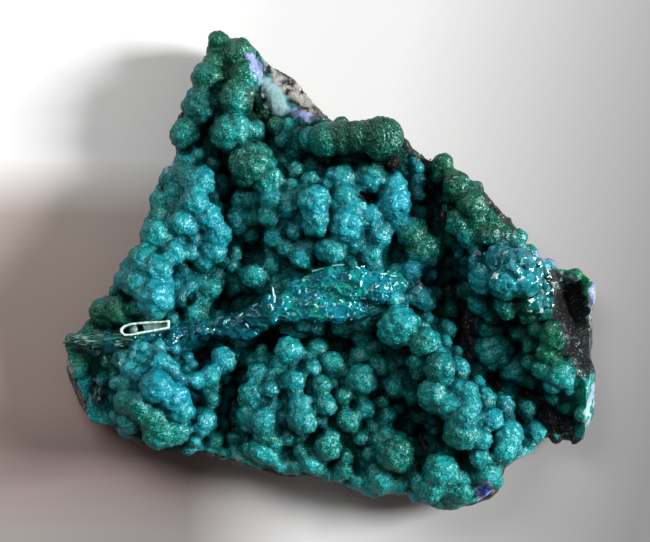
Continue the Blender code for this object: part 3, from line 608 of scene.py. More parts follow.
def makeCrust():
    draw = random.Random(11)
    cutter = sidesCutter(crustSides, 0.02, 5.0)
    centres = knobCentres()
    fillers = fillerKnobs(draw, centres)
    made = {}
    for name, (west, east, south, north) in stretches.items():
        over = crust["overlap"]
        block = bedBlock(
            west - over, east + over, south - over, north + over, 1.0, 0.0, crust["floor"], cutter
        )
        pile = {}
        for region, x, y, z, radius in centres:
            if not (west <= x < east and south <= y < north) or region == "vein":
                continue
            if radius < crust["smallKnob"]:
                radius *= crust["smallGrowth"]
            ballAt(pile, x, y, z, radius * 0.97, 3)
            ballAt(pile, x, y, z - 0.6 * radius, radius * 0.92, 3)
            if radius > crust["lobedFrom"] and region != crust["smoothRow"]:
                lobesOn(pile, draw, x, y, z, radius)
        for x, y, z, radius in fillers:
            if west <= x < east and south <= y < north:
                ballAt(pile, x, y, z, radius, 2)
        bm = bmesh.new()
        bm.from_mesh(block)
        addPile(bm, pile)
        mesh = grownTogether(name, bm, crust["voxel"], crust["softened"])
        flatFloor(mesh, crust["floor"] + 0.5)
        moveAlongNormals(mesh, druseHeights(pointsOf(mesh)))
        made[name] = mesh
        print("grown", name, len(mesh.vertices))
    bpy.data.objects.remove(cutter)
    return made


rock = {
    "voxel": 0.42,
    "sink": 0.9,  # how far the rock's top lies under the crust
    "roughHeight": 0.35,
    "roughLength": 2.2,
    "chipLength": 1.6,
}
rockSides = [
    (-1.5, 0.81), (0.6, 0.87), (2.6, 0.955), (4.6, 0.997), (6.6, 0.997), (8.0, 0.97), (32.0, 0.87),
]


def makeRock():
    cutter = sidesCutter(rockSides, 0.035, 9.0)
    block = bedBlock(-48, 48, -44, 44, 1.2, rock["sink"], -3.0, cutter)
    bpy.data.objects.remove(cutter)
    bm = bmesh.new()
    bm.from_mesh(block)
    mesh = grownTogether("hostRock", bm, rock["voxel"])
    heights = []
    for p in pointsOf(mesh):
        spot = Vector(p)
        near = noise.voronoi(spot / rock["chipLength"])[0]
        rough = noise.noise(spot / rock["roughLength"]) + 0.8 * math.sqrt(near[0]) - 0.6
        heights.append(rock["roughHeight"] * rough)
    moveAlongNormals(mesh, heights)
    flatFloor(mesh, 0.0)
    print("grown hostRock", len(mesh.vertices))
    return mesh


vein = {
    "voxel": 0.2,
    "softened": 14,
    "swell": 1.12,
    "flatness": 0.5,
    "bendLength": 2.3,
    "bendHeight": 0.8,
    "ridgeCell": 1.5,
    "ridgeHeight": 0.4,
    "fineCell": 0.55,
    "fineHeight": 0.14,
    "crystals": 330,
    "length": (0.25, 0.85),
    "width": 0.55,  # share of a crystal's length
    "lean": 0.8,
    "narrowShare": 0.12,  # share of the crystals kept on its narrow part
    # bright blades on its crest: x, y, direction in degrees, length in millimetres, brightness
    "blades": [
        (-9.5, -4.7, 98, 1.5, 1.0), (-9.3, -5.9, 84, 1.2, 0.98), (-9.7, -7.3, 108, 1.0, 1.0),
        (-10.2, -5.6, 70, 0.7, 0.96), (-12.6, -6.7, 35, 0.9, 0.94), (-14.9, -8.2, 40, 0.7, 0.95),
        (-17.3, -9.1, 15, 1.0, 0.93), (-13.9, -9.9, -50, 0.7, 0.95), (-5.2, -1.7, 12, 2.6, 0.915),
        (-2.2, -0.9, 14, 2.4, 0.92), (0.9, -0.3, 6, 1.9, 0.915), (8.5, -1.8, 4, 1.0, 1.0),
        (10.1, -2.1, -8, 0.9, 1.0), (10.5, -3.5, 50, 0.9, 1.0), (4.3, -0.8, -30, 0.8, 0.98),
        (3.1, -2.6, 64, 0.6, 0.97), (7.5, -4.0, 30, 0.6, 1.0), (-5.2, -4.6, 80, 0.6, 0.96),
    ],
}


def makeVein():
    pile = {}
    for x, y, radius in knobs["vein"]:
        z = bedHeight(x, y)
        ballAt(pile, x, y, z, radius * vein["swell"], 3, vein["flatness"])
        ballAt(pile, x, y, z - 1.4 * radius, radius * 1.1, 2)
    bm = bmesh.new()
    addPile(bm, pile)
    mesh = grownTogether("glassyVein", bm, vein["voxel"], vein["softened"])
    heights = []
    for p in pointsOf(mesh):
        spot = Vector(p)
        bend = noise.noise(spot / vein["bendLength"]) * vein["bendHeight"]
        near = noise.voronoi(Vector((spot.x * 0.55, spot.y, spot.z)) / vein["ridgeCell"])[0]
        ridge = (1 - min(1, (near[1] - near[0]) / 0.35)) ** 2 * vein["ridgeHeight"]
        fine = math.sqrt(noise.voronoi(spot / vein["fineCell"])[0][0]) - 0.6
        heights.append(bend + ridge + vein["fineHeight"] * fine - 0.2)
    moveAlongNormals(mesh, heights)
    # deep blue along the narrow run, brighter towards the broad end
    layer = mesh.attributes.new("tint", "FLOAT", "POINT")
    bright = np.clip((pointsOf(mesh)[:, 0] + 13) / 7, 0, 1)
    layer.data.foreach_set("value", bright.astype(np.float32))
    print("grown glassyVein", len(mesh.vertices))
    return mesh


def crystalShape():
    # a six-sided crystal of length 1 along Z, with a blunt pyramid at its upper end
    bm = bmesh.new()
    bmesh.ops.create_cone(
        bm, cap_ends=True, cap_tris=False, segments=6, radius1=0.5, radius2=0.5, depth=0.8
    )
    top = max(bm.faces, key=lambda face: face.calc_center_median().z)
    bmesh.ops.inset_region(bm, faces=[top], thickness=0.32, depth=0.0)
    bmesh.ops.translate(bm, verts=top.verts, vec=(0, 0, 0.3))
    bmesh.ops.triangulate(bm, faces=bm.faces)
    bm.verts.ensure_lookup_table()
    points = np.array([vert.co for vert in bm.verts])
    corners = np.array([[vert.index for vert in face.verts] for face in bm.faces])
    bm.free()
    return points, corners


def crystalMesh(name, places):
    # places: middle in metres, direction, length in metres, width as a share of it, spin, tint
    points, corners = crystalShape()
    copies, tints = [], []
    for middle, direction, length, width, spin, tint in places:
        turn = direction.to_track_quat("Z", "Y").to_matrix() @ Matrix.Rotation(spin, 3, "Z")
        sized = points * (length * width, length * width, length)
        copies.append(sized @ np.array(turn).T + np.array(middle))
        tints += [tint] * len(points)
    joined = corners[None, :, :] + len(points) * np.arange(len(places))[:, None, None]
    mesh = bpy.data.meshes.new(name)
    mesh.from_pydata(np.concatenate(copies), [], joined.reshape(-1, 3))
    layer = mesh.attributes.new("tint", "FLOAT", "POINT")
    layer.data.foreach_set("value", np.array(tints, np.float32))
    mesh.update()
    return mesh


def surfacePlaces(mesh, draw, count, lengths, width, lean, keep, sink=0.15):
    # random places on the mesh's upper side where keep says so
    points = pointsOf(mesh)
    normals = normalsOf(mesh)
    found = []
    tries = 0
    while len(found) < count and tries < 60 * count:
        tries += 1
        i = draw.randrange(len(points))
        if normals[i][2] < 0.15 or draw.random() > keep(points[i]):
            continue
        length = draw.uniform(*lengths) * mm
        sideways = Vector([draw.uniform(-1, 1) for _ in range(3)])
        direction = (Vector(normals[i]) + lean * sideways).normalized()
        middle = mesh.vertices[i].co - sink * length * Vector(normals[i])
        spin, tint = draw.uniform(0, 6.28), draw.random()
        found.append((middle, direction, length, width, spin, tint))
    return found


massGlass = {
    "crystals": 52,
    "length": (0.9, 2.0),
    "width": 0.8,
    "lean": 0.6,
    "sink": 0.48,
    "above": 14.0,  # none lies lower than this
    "spots": [(29.2, -0.8, 4.6, 2.8, -8), (34.2, -4.2, 2.0, 4.2, 10, 0.4)],
}


def makeMassCrystals(eastMesh):
    draw = random.Random(41)

    def overMass(p):
        return spots(p[None, :], massGlass["spots"])[0] if p[2] > massGlass["above"] else 0

    places = surfacePlaces(
        eastMesh, draw, massGlass["crystals"], massGlass["length"], massGlass["width"],
        massGlass["lean"], overMass, massGlass["sink"],
    )
    return crystalMesh("massCrystals", places)


def makeVeinCrystals(veinMesh):
    draw = random.Random(23)

    def broadEnd(p):
        return 1.0 if p[0] > crust["veinBroadFrom"] else vein["narrowShare"]

    places = surfacePlaces(
        veinMesh, draw, vein["crystals"], vein["length"], vein["width"], vein["lean"], broadEnd
    )
    points = pointsOf(veinMesh)
    for x, y, direction, length, tint in vein["blades"]:
        near = np.hypot(points[:, 0] - x, points[:, 1] - y) < 0.6
        if near.any():
            angle = math.radians(direction)
            along = Vector((math.cos(angle), math.sin(angle), draw.uniform(-0.1, 0.15)))
            middle = inMetres(x, y, points[near, 2].max() + 0.05)
            spin = draw.uniform(0, 6.28)
            places.append((middle, along.normalized(), length * mm, 0.3 / length, spin, tint))
    return crystalMesh("veinCrystals", places)


# the hollow shard at the left end
shard = {
    # the wall in plan: far side, round the left end and back along the near side
    "wall": [
        (-26.5, -9.2), (-28.2, -9.3), (-29.9, -9.4), (-31.6, -9.5), (-33.0, -9.7), (-34.0, -10.0),
        (-34.7, -10.6), (-34.6, -11.3), (-34.0, -11.8), (-33.0, -11.8), (-31.4, -11.5),
        (-29.8, -11.2), (-28.2, -10.9), (-26.6, -10.6),
    ],
    "bottom": 9.0,
    "top": 13.5,
    "thickness": 0.36,
    # what fills its right part, and the pebble in the open part
    "filling": [(-26.6, -9.3), (-31.2, -9.6), (-30.6, -11.2), (-26.7, -10.5)],
    "fillingTop": 12.9,
    "pebble": (-32.5, -10.7, 12.2, 0.75),
}


def makeShard():
    bm = bmesh.new()
    row = [bm.verts.new(inMetres(x, y, shard["bottom"])) for x, y in shard["wall"]]
    edges = [bm.edges.new(pair) for pair in zip(row, row[1:] + row[:1])]
    grown = bmesh.ops.extrude_edge_only(bm, edges=edges)["geom"]
    upper = [item for item in grown if isinstance(item, bmesh.types.BMVert)]
    bmesh.ops.translate(bm, verts=upper, vec=(0, 0, (shard["top"] - shard["bottom"]) * mm))
    bmesh.ops.subdivide_edges(bm, edges=bm.edges, cuts=2, use_grid_fill=True)
    bmesh.ops.recalc_face_normals(bm, faces=bm.faces)
    bmesh.ops.solidify(bm, geom=list(bm.faces), thickness=shard["thickness"] * mm)
    bmesh.ops.recalc_face_normals(bm, faces=bm.faces)
    corners = [bm.verts.new(inMetres(x, y, shard["fillingTop"])) for x, y in shard["filling"]]
    top = bmesh.ops.contextual_create(bm, geom=corners)["faces"]
    body = bmesh.ops.extrude_face_region(
        bm, geom=top + list(top[0].edges) + corners, use_keep_orig=True
    )["geom"]
    lower = [item for item in body if isinstance(item, bmesh.types.BMVert)]
    bmesh.ops.translate(bm, verts=lower, vec=(0, 0, (shard["bottom"] - shard["fillingTop"]) * mm))
    pile = {}
    ballAt(pile, *shard["pebble"], 3)
    addPile(bm, pile)
    bmesh.ops.recalc_face_normals(bm, faces=bm.faces)
    mesh = grownTogether("hollowShard", bm, 0.1, 2)
    moveAlongNormals(mesh, [0.09 * noise.noise(Vector(p) / 0.7) for p in pointsOf(mesh)])
    return mesh


tip = {"splinters": 300, "west": -44.7, "east": -31.5, "middle": -12.2, "low": 8.0, "high": 12.7}


def makeTip():
    # broken splinters that fan out from the pointed left end
    draw = random.Random(31)
    places = []
    for _ in range(tip["splinters"]):
        length = draw.uniform(0.9, 3.4)
        start = draw.uniform(tip["west"], tip["east"] - length)
        along = (start + length / 2 - tip["west"]) / (tip["east"] - tip["west"])
        side = draw.uniform(-1, 1)
        y = tip["middle"] + side * (0.7 + 2.4 * along)
        rise = (1 - abs(side) ** 1.5) * (0.55 + 0.45 * along)
        z = tip["low"] + (tip["high"] - tip["low"]) * rise
        lift = draw.uniform(-0.1, 0.24)
        direction = Vector((1, 0.30 * side + draw.uniform(-0.34, 0.34), lift))
        middle = inMetres(start + length / 2, y, z - draw.uniform(0.2, 0.9))
        width = draw.uniform(0.22, 0.6) / length
        spin, tint = draw.uniform(0, 6.28), draw.random()
        places.append((middle, direction.normalized(), length * mm, width, spin, tint))
    return crystalMesh("splinteredTip", places)


# The colour of the crust, point by point.
tones = {
    # x, y, half length, half width, turn, strength
    "green": [
        (-17, 36, 8, 5, 90, 0.85), (-21, 29, 6, 5, 60, 0.7), (5, 21.6, 9, 5.5, 0, 0.8),
        (22, 12, 9, 5, -55, 0.85), (19, 17.5, 3, 3, 0), (28, 5.5, 5, 3, -40, 0.8),
        (-11.5, 27.5, 3.4, 3, -60), (33, -9, 4, 5, 0, 0.6),
        (36, -13, 4, 4, 0, 0.6), (-38, -9, 5, 2.5, 30, 0.7), (12, -31, 5, 4, 0, 0.35),
        (-13.5, 16.5, 4, 4, 0, 0.45), (-24.5, 19, 4, 5, 0, 0.3), (15, 4, 3, 3, 0, 0.5),
        (41.5, -1.5, 3, 2, -20, 0.9), (42.3, -6, 1.6, 5, 0, 0.9), (21.3, -28, 3.5, 3, 0, 0.35),
        (-29, -26, 6, 2.6, -20, 0.22), (5, -15, 5, 8, 0, 0.15), (-40, -13, 5, 3, 0, 0.9),
        (-1, -25, 13, 8, -10, 0.22),
        (18, -19, 11, 4.5, -50, 0.34), (-30, 2, 6, 8, -20, 0.15),
    ],
    "blue": [
        (-20.5, 5.5, 5, 6, 0, 0.6), (-28, -3, 6, 5, 0, 0.55), (-21, 14, 4, 5, 0, 0.5),
        (10.6, 11, 4, 4.5, 0, 0.6), (6, 7, 7, 5, 0, 0.5), (4, 13.5, 6, 3, 0, 0.5),
        (-26.5, -20, 6, 5, -40, 0.7), (-22, -14, 6, 4, 0, 0.7), (-8, -22, 8, 7, 0, 0.25),
        (-21, -26, 3, 3, 0, 0.5), (14, -1, 4, 2, 0, 0.8), (22, -20, 6, 5, -45, 0.3),
        (28, -25, 5, 5, 0, 0.4), (14, -7, 5, 3, -45, 0.4), (14.4, 15, 1.6, 4, 0, 0.6),
        (-3, 7, 8, 6, 0, 0.35), (20, -16, 3, 4, 0, 0.4), (28, -1, 7, 4, -10, 0.7),
    ],
    "vivid": [
        (40.4, -0.9, 3.4, 1.4, -18), (42.5, -5.6, 1.3, 4.6, 0), (33.0, -8.4, 3.4, 3.0, 0, 0.55),
        (35.0, -13.6, 3.0, 4.2, 0, 0.55), (-37.0, -9.6, 4.5, 2.0, 20, 0.6), (-17, 35.5, 6, 4, 90, 0.3),
        (41.4, -23.5, 1.6, 4.5, 0, 0.7), (-41.0, -14.8, 3.0, 2.0, 0, 0.6),
        (-9.8, 27.0, 1.5, 3.0, 30, 0.7),
        (22, 12, 7, 3.5, -55, 0.16), (5, 21, 8, 5, 0, 0.1), (-29, -26.4, 4, 2, -20, 0.15),
        (0.5, -1.2, 3.0, 0.9, 10, 0.5), (4.0, -9.0, 3.0, 2.0, 0, 0.35), (19.0, 17.0, 2, 3, 0, 0.4),
    ],
    # pockets of painted shade in the deep hollows and under the top finger, partly darker crust too
    "shadedPockets": [
        (20, 0, 4.5, 13, 8, 0.75), (26.5, -13, 10, 4.5, -55, 0.8), (34, -25, 8, 4, -35, 0.85),
        (39.5, -4.6, 3, 3.6, 0, 0.9), (-9, -11.6, 6, 2.2, 0, 0.9), (-17.5, -13.5, 4, 2.6, 0, 0.8),
        (-17, -20.5, 5, 2.4, 70, 0.75), (-16.5, -5, 6, 2.2, 15, 0.8), (-8.5, 22, 5, 3.6, 40, 0.7),
        (4, 18.6, 9, 1.8, -4, 0.8), (-17, 15, 6, 2, -80, 0.5), (8.5, -10, 3, 2, -50, 0.5),
        (13.6, -28, 5, 2.4, -60, 0.5), (-37.5, -20, 6, 2, -60, 0.8), (16.8, 10, 6.5, 1.8, -85, 0.9),
        (-12.6, 3.5, 3, 3, 0, 0.4), (3.4, 22.6, 1.5, 2.2, 0, 0.5), (-36, -5.5, 2.6, 1.6, 30, 0.5),
        (-22, -24, 3, 1.5, -60, 0.5), (-2.5, -26, 3, 6, 0, 0.15), (-28.6, -13.4, 5, 1, 0, 0.4),
    ],
    "pale": [
        (-9.4, 29.6, 3.4, 1.7, -62), (40.0, -1.2, 1.9, 0.8, -15, 0.6),
        (-39.4, -20.6, 2.6, 0.8, 78, 0.55),
        (42.9, -22.6, 4.0, 0.55, 78, 0.9), (43.7, -5.6, 3.0, 0.6, 88, 0.8),
    ],
    "litRock": [
        (-6.6, 31.2, 6.0, 1.6, -46), (-10.4, 34.6, 2.0, 1.2, -40),
        (-43.2, -19.4, 5.4, 0.8, -68, 0.8), (-18.0, -31.8, 4.0, 0.5, -14, 0.7),
    ],
    "azurite": [
        (-12.6, 33.8, 3.0, 1.1, -68, 0.58), (-4.8, 26.0, 2.7, 1.0, -24, 0.58),
        (-27.2, 17.0, 1.6, 0.7, 60, 0.7), (35.6, 1.4, 1.7, 0.8, -20), (25.2, -37.0, 1.4, 1.0, 40),
        (43.9, -4.0, 3.0, 0.6, 86, 0.65), (43.2, -21, 1.6, 0.5, 84, 0.6),
    ],
}


# patches of clear crystal on the druse
glassSpots = [
    (28.6, -0.4, 5.4, 3.0, -10), (34.0, -4.4, 2.8, 4.6, 10, 0.9), (-31.4, -14.2, 3.8, 1.4, -8, 0.8),
    (-36.5, -14.6, 3.0, 1.2, -20, 0.9), (-37.5, -10.6, 3.0, 1.0, 24, 0.6),
    (13.6, -3.4, 2.4, 2.2, 0, 0.6),
    (-5.0, -9.8, 3.0, 1.6, 0, 0.6), (4.6, -10.2, 2.2, 1.6, 0, 0.5), (-8.6, 33.2, 2.0, 1.0, -45, 0.3),
]


def blurred(grid, sigma):
    reach = int(3 * sigma)
    kernel = np.exp(-0.5 * (np.arange(-reach, reach + 1) / sigma) ** 2)
    kernel /= kernel.sum()
    for axis in (0, 1):
        grid = np.apply_along_axis(lambda row: np.convolve(row, kernel, mode="same"), axis, grid)
    return grid


# painted shade: the crust is painted darker where it lies below the surface round it
paintedShadeMap = {
    "step": 0.4,
    "reach": 50.0,  # the map runs this far each way from the plan's middle
    "level": 0.20,  # what level ground counts as
    "near": [(0.7, 0.17), (1.8, 0.17), (4.5, 0.035)],  # how far round, and the weight of that
}


def squareOf(points):
    # the map's row and column under each point
    found = ((points[:, :2] + paintedShadeMap["reach"]) / paintedShadeMap["step"]).astype(int)
    return found[:, 1], found[:, 0]


def surfaceMap(clouds):
    # the highest point over each small square of the plan
    size = int(2 * paintedShadeMap["reach"] / paintedShadeMap["step"])
    grid = np.full((size, size), 3.0)
    for points in clouds:
        np.maximum.at(grid, squareOf(points), points[:, 2])
    return grid


def paintedShadeDepth(points, grids):
    # how far a point lies below the surface round it, near by and farther off: the depth of its painted
    # shade
    total = paintedShadeMap["level"]
    for grid, (_, weight) in zip(grids, paintedShadeMap["near"]):
        total = total + (grid[squareOf(points)] - points[:, 2]) * weight
    return np.clip(total, 0, 1)


def ragged(points):
    # the same points pushed about, so that a patch of colour has a ragged edge
    pushed = points.copy()
    for i, p in enumerate(points):
        push = noise.noise_vector(Vector(p) / 1.1)
        pushed[i, 0] += 1.0 * push.x
        pushed[i, 1] += 1.0 * push.y
    return pushed


def paintCrust(meshes):
    clouds = {name: pointsOf(mesh) for name, mesh in meshes.items()}
    grid = surfaceMap(clouds.values())
    grids = [blurred(grid, reach / paintedShadeMap["step"]) for reach, _ in paintedShadeMap["near"]]
    centres = knobCentres()
    tree = kdtree.KDTree(len(centres))
    for i, (_, x, y, z, _) in enumerate(centres):
        tree.insert((x, y, z), i)
    tree.balance()
    draw = random.Random(5)
    knobTone = [draw.uniform(-0.1, 0.1) for _ in centres]
    for name, mesh in meshes.items():
        points = clouds[name]
        tone = np.array([knobTone[tree.find(p)[1]] for p in points])
        green, blue, vivid, shadedPockets = (
            spots(points, tones[label]) for label in ("green", "blue", "vivid", "shadedPockets")
        )
        hollow = paintedShadeDepth(points, grids)
        warped = ragged(points)
        coatAndShade = np.column_stack(
            [
                np.clip(0.575 + tone - 0.50 * green, 0, 1),
                # painted shade: darker down in the hollows and in the shaded pockets
                np.clip(hollow + 0.34 * shadedPockets * (0.35 + hollow), 0, 1),
                np.clip(blue * (1 - 0.7 * green) + 1.2 * tone, 0, 1) * (1 - vivid) - vivid,
                spots(warped, glassSpots),
            ]
        )
        rocky = spots(warped, rockSpots)
        rim = np.clip((5.4 - points[:, 2]) / 0.8, 0, 1)
        mineral = np.column_stack(
            [
                np.maximum(rocky, rim),
                *(spots(warped, tones[label]) for label in ("pale", "azurite", "litRock")),
            ]
        )
        for label, colours in (("coatAndShade", coatAndShade), ("mineral", mineral)):
            layer = mesh.attributes.new(label, "FLOAT_COLOR", "POINT")
            layer.data.foreach_set("color", colours.astype(np.float32).ravel())


def newMaterial(name):
    material = bpy.data.materials.new(name)
    material.use_nodes = True
    tree = material.node_tree
    return material, tree, tree.nodes["Principled BSDF"]


def node(tree, kind, **settings):
    made = tree.nodes.new(kind)
    for label, value in settings.items():
        if label.startswith("in_"):
            made.inputs[label[3:].replace("_", " ")].default_value = value
        else:
            setattr(made, label, value)
    return made


def feed(tree, made, values):
    # sets an input to a constant, or joins another node's output to it
    for index, value in values.items():
        if isinstance(value, (tuple, float, int)):
            made.inputs[index].default_value = value
        else:
            tree.links.new(value, made.inputs[index])


def objectNoise(tree, scale, detail):
    coords = node(tree, "ShaderNodeTexCoord")
    made = node(tree, "ShaderNodeTexNoise", in_Scale=scale, in_Detail=detail)
    tree.links.new(coords.outputs["Object"], made.inputs["Vector"])
    return made.outputs[0]


def mixColour(tree, factor, first, second, blend="MIX"):
    made = node(tree, "ShaderNodeMix", data_type="RGBA", blend_type=blend)
    feed(tree, made, {0: factor, 6: first, 7: second})
    return made.outputs[2]


def sums(tree, operation, first, second, clamp=False):
    made = node(tree, "ShaderNodeMath", operation=operation, use_clamp=clamp)
    feed(tree, made, {0: first, 1: second})
    return made.outputs[0]


def times(tree, first, second, clamp=False):
    return sums(tree, "MULTIPLY", first, second, clamp)


def ramp(tree, factor, stops):
    made = node(tree, "ShaderNodeValToRGB")
    tree.links.new(factor, made.inputs[0])
    points = made.color_ramp.elements
    while len(points) < len(stops):
        points.new(0.5)
    for point, (place, colour) in zip(points, stops):
        point.position = place
        point.color = colour if isinstance(colour, tuple) else (colour, colour, colour, 1)
    return made.outputs[0]


def crystalFacets():
    # small flat faces turned every way: a normal for the gloss and a mask of random ones, where glints
    # are painted
    group = bpy.data.node_groups.new("crystalFacets", "ShaderNodeTree")
    face = group.interface
    for label in ("Cells", "Tilt", "Share"):
        face.new_socket(label, in_out="INPUT", socket_type="NodeSocketFloat")
    for label, kind in (("Normal", "Vector"), ("Glint", "Float"), ("Grain", "Float")):
        face.new_socket(label, in_out="OUTPUT", socket_type="NodeSocket" + kind)
    start = group.nodes.new("NodeGroupInput")
    end = group.nodes.new("NodeGroupOutput")
    place = group.nodes.new("ShaderNodeTexCoord")
    cells = node(group, "ShaderNodeTexVoronoi", feature="F1")
    group.links.new(place.outputs["Object"], cells.inputs["Vector"])
    group.links.new(start.outputs["Cells"], cells.inputs["Scale"])
    centred = node(group, "ShaderNodeVectorMath", operation="SUBTRACT")
    centred.inputs[1].default_value = (0.5, 0.5, 0.5)
    group.links.new(cells.outputs["Color"], centred.inputs[0])
    tilted = node(group, "ShaderNodeVectorMath", operation="SCALE")
    group.links.new(centred.outputs[0], tilted.inputs[0])
    group.links.new(start.outputs["Tilt"], tilted.inputs["Scale"])
    surface = group.nodes.new("ShaderNodeNewGeometry")
    turned = node(group, "ShaderNodeVectorMath", operation="ADD")
    group.links.new(surface.outputs["Normal"], turned.inputs[0])
    group.links.new(tilted.outputs[0], turned.inputs[1])
    even = node(group, "ShaderNodeVectorMath", operation="NORMALIZE")
    group.links.new(turned.outputs[0], even.inputs[0])
    group.links.new(even.outputs[0], end.inputs["Normal"])
    parts = node(group, "ShaderNodeSeparateColor")
    group.links.new(cells.outputs["Color"], parts.inputs[0])
    glint = node(group, "ShaderNodeMath", operation="GREATER_THAN")
    group.links.new(parts.outputs[0], glint.inputs[0])
    group.links.new(start.outputs["Share"], glint.inputs[1])
    group.links.new(glint.outputs[0], end.inputs["Glint"])
    group.links.new(parts.outputs[1], end.inputs["Grain"])
    return group


facets = crystalFacets()


def facetNode(tree, cells, tilt, share):
    made = node(tree, "ShaderNodeGroup", node_tree=facets)
    made.inputs["Cells"].default_value = cells
    made.inputs["Tilt"].default_value = tilt
    made.inputs["Share"].default_value = share
    return made


drusyMalachite = {
    "deep": (0.0005, 0.014, 0.014, 1),
    "darkGreen": (0.002, 0.098, 0.048, 1),
    "teal": (0.001, 0.250, 0.255, 1),
    "bright": (0.035, 0.480, 0.460, 1),
    "blueTeal": (0.001, 0.250, 0.390, 1),
    "vividGreen": (0.004, 0.165, 0.055, 1),
    "glint": (0.36, 0.90, 0.86, 1),
    "rock": (0.009, 0.009, 0.010, 1),
    "rockGlint": (0.11, 0.11, 0.115, 1),
    "litRock": (0.40, 0.37, 0.34, 1),
    "grain": (0.46, -0.20),  # how much one grain's tone differs from the next, and the shift
    "patchShare": 0.85,
    "glintShine": 0.36,
    "shine": 0.50,
    "edgeShade": 0.62,  # painted shade: how much darker the druse is painted where it is seen edge on
    # painted shade: how dark the druse is painted from the knobs' tops down to the deepest hollows
    "paintedHollowShade": [(0.10, 1.0), (0.30, 0.58), (0.60, 0.25), (1.0, 0.15)],
    "pale": (0.32, 0.50, 0.53, 1),
    "lilac": (0.25, 0.28, 0.50, 1),
    "azurite": (0.020, 0.012, 0.36, 1),
    "gloss": (0.68, 1.0, 0.97, 1),
    "cells": 5200.0,
    "tilt": 0.38,
    "glintShare": 0.97,
    "glass": [
        (0.0, (0.003, 0.085, 0.110, 1)),
        (0.55, (0.006, 0.180, 0.225, 1)),
        (1.0, (0.08, 0.34, 0.40, 1)),
    ],
    "spark": (0.75, 0.92, 0.92, 1),
    "glassCells": 1000.0,
    "glassTilt": 1.0,
    "glassShare": 0.93,
}


def paintedColours(tree, label):
    # the painted attribute, and its red, green and blue
    painted = node(tree, "ShaderNodeAttribute", attribute_name=label)
    parts = node(tree, "ShaderNodeSeparateColor")
    tree.links.new(painted.outputs["Color"], parts.inputs[0])
    return painted, parts


def drusyMaterial():
    look = drusyMalachite
    material, tree, shader = newMaterial("drusyMalachite")
    link = tree.links.new
    coating, coatAndShade = paintedColours(tree, "coatAndShade")
    minerals, mineral = paintedColours(tree, "mineral")
    grains = facetNode(tree, look["cells"], look["tilt"], look["glintShare"])

    contrast, shift = look["grain"]
    tone = sums(tree, "ADD", coatAndShade.outputs[0], times(tree, grains.outputs["Grain"], contrast))
    tone = sums(tree, "ADD", tone, shift, clamp=True)
    places = zip((0.0, 0.28, 0.62, 1.0), ("deep", "darkGreen", "teal", "bright"))
    colour = ramp(tree, tone, [(place, look[label]) for place, label in places])
    # where the blue channel is above 0 the crust is bluer, below 0 a clearer green
    blue = times(tree, coatAndShade.outputs[2], look["patchShare"], clamp=True)
    colour = mixColour(tree, blue, colour, look["blueTeal"])
    vivid = times(tree, coatAndShade.outputs[2], -look["patchShare"], clamp=True)
    colour = mixColour(tree, vivid, colour, look["vividGreen"])
    # painted shade: darker in the hollows and where the druse is seen edge on
    facing = node(tree, "ShaderNodeLayerWeight", in_Blend=0.5)
    edge = sums(tree, "SUBTRACT", 1.0, times(tree, facing.outputs["Facing"], look["edgeShade"]))
    shade = times(tree, ramp(tree, coatAndShade.outputs[1], look["paintedHollowShade"]), edge)
    colour = mixColour(tree, 1.0, colour, shade, "MULTIPLY")
    glint = times(tree, grains.outputs["Glint"], shade)
    colour = mixColour(tree, times(tree, glint, look["glintShine"]), colour, look["glint"])

    # clear crystal
    glassy = ramp(tree, coating.outputs["Alpha"], [(0.3, 0.0), (0.6, 1.0)])
    broad = facetNode(tree, look["glassCells"], look["glassTilt"], look["glassShare"])
    clear = mixColour(tree, 1.0, ramp(tree, broad.outputs["Grain"], look["glass"]), shade, "MULTIPLY")
    colour = mixColour(tree, times(tree, glassy, 0.7), colour, clear)
    # painted glints on the clear crystal
    spark = times(tree, times(tree, broad.outputs["Glint"], glassy), shade)
    colour = mixColour(tree, spark, colour, look["spark"])

    # bare rock, pale coating and azurite
    rocky = ramp(tree, mineral.outputs[0], [(0.35, 0.0), (0.6, 1.0)])
    bare = mixColour(tree, grains.outputs["Glint"], look["rock"], look["rockGlint"])
    mottled = ramp(tree, objectNoise(tree, 650.0, 4.0), [(0.42, 0.0), (0.56, 1.0)])
    lit = times(tree, minerals.outputs["Alpha"], mottled)
    bare = mixColour(tree, lit, bare, look["litRock"])
    colour = mixColour(tree, rocky, colour, bare)
    pale = ramp(tree, mineral.outputs[1], [(0.3, 0.0), (0.7, 1.0)])
    colour = mixColour(tree, times(tree, pale, 0.85), colour, look["pale"])
    azure = ramp(tree, mineral.outputs[2], [(0.25, 0.0), (0.5, 0.85)])
    deepest = ramp(tree, mineral.outputs[2], [(0.72, 0.0), (0.9, 1.0)])
    azureColour = mixColour(tree, deepest, look["lilac"], look["azurite"])
    colour = mixColour(tree, azure, colour, azureColour)

    shader.inputs["Specular Tint"].default_value = look["gloss"]
    link(colour, shader.inputs["Base Color"])
    normal = node(tree, "ShaderNodeMix", data_type="VECTOR")
    feed(tree, normal, {0: glassy, 4: grains.outputs["Normal"], 5: broad.outputs["Normal"]})
    link(normal.outputs[1], shader.inputs["Normal"])
    rough = ramp(tree, grains.outputs["Grain"], [(0.0, 0.22), (1.0, 0.56)])
    link(mixColour(tree, glassy, rough, (0.12, 0.12, 0.12, 1)), shader.inputs["Roughness"])
    shine = times(tree, ramp(tree, coatAndShade.outputs[1], [(0.2, 1.0), (0.6, 0.15)]), look["shine"])
    link(shine, shader.inputs["Specular IOR Level"])
    shader.inputs["IOR"].default_value = 1.5
    return material


hostRockLook = {
    "dark": (0.016, 0.014, 0.013, 1),
    "light": (0.14, 0.12, 0.105, 1),
    "glint": (0.25, 0.24, 0.23, 1),
}


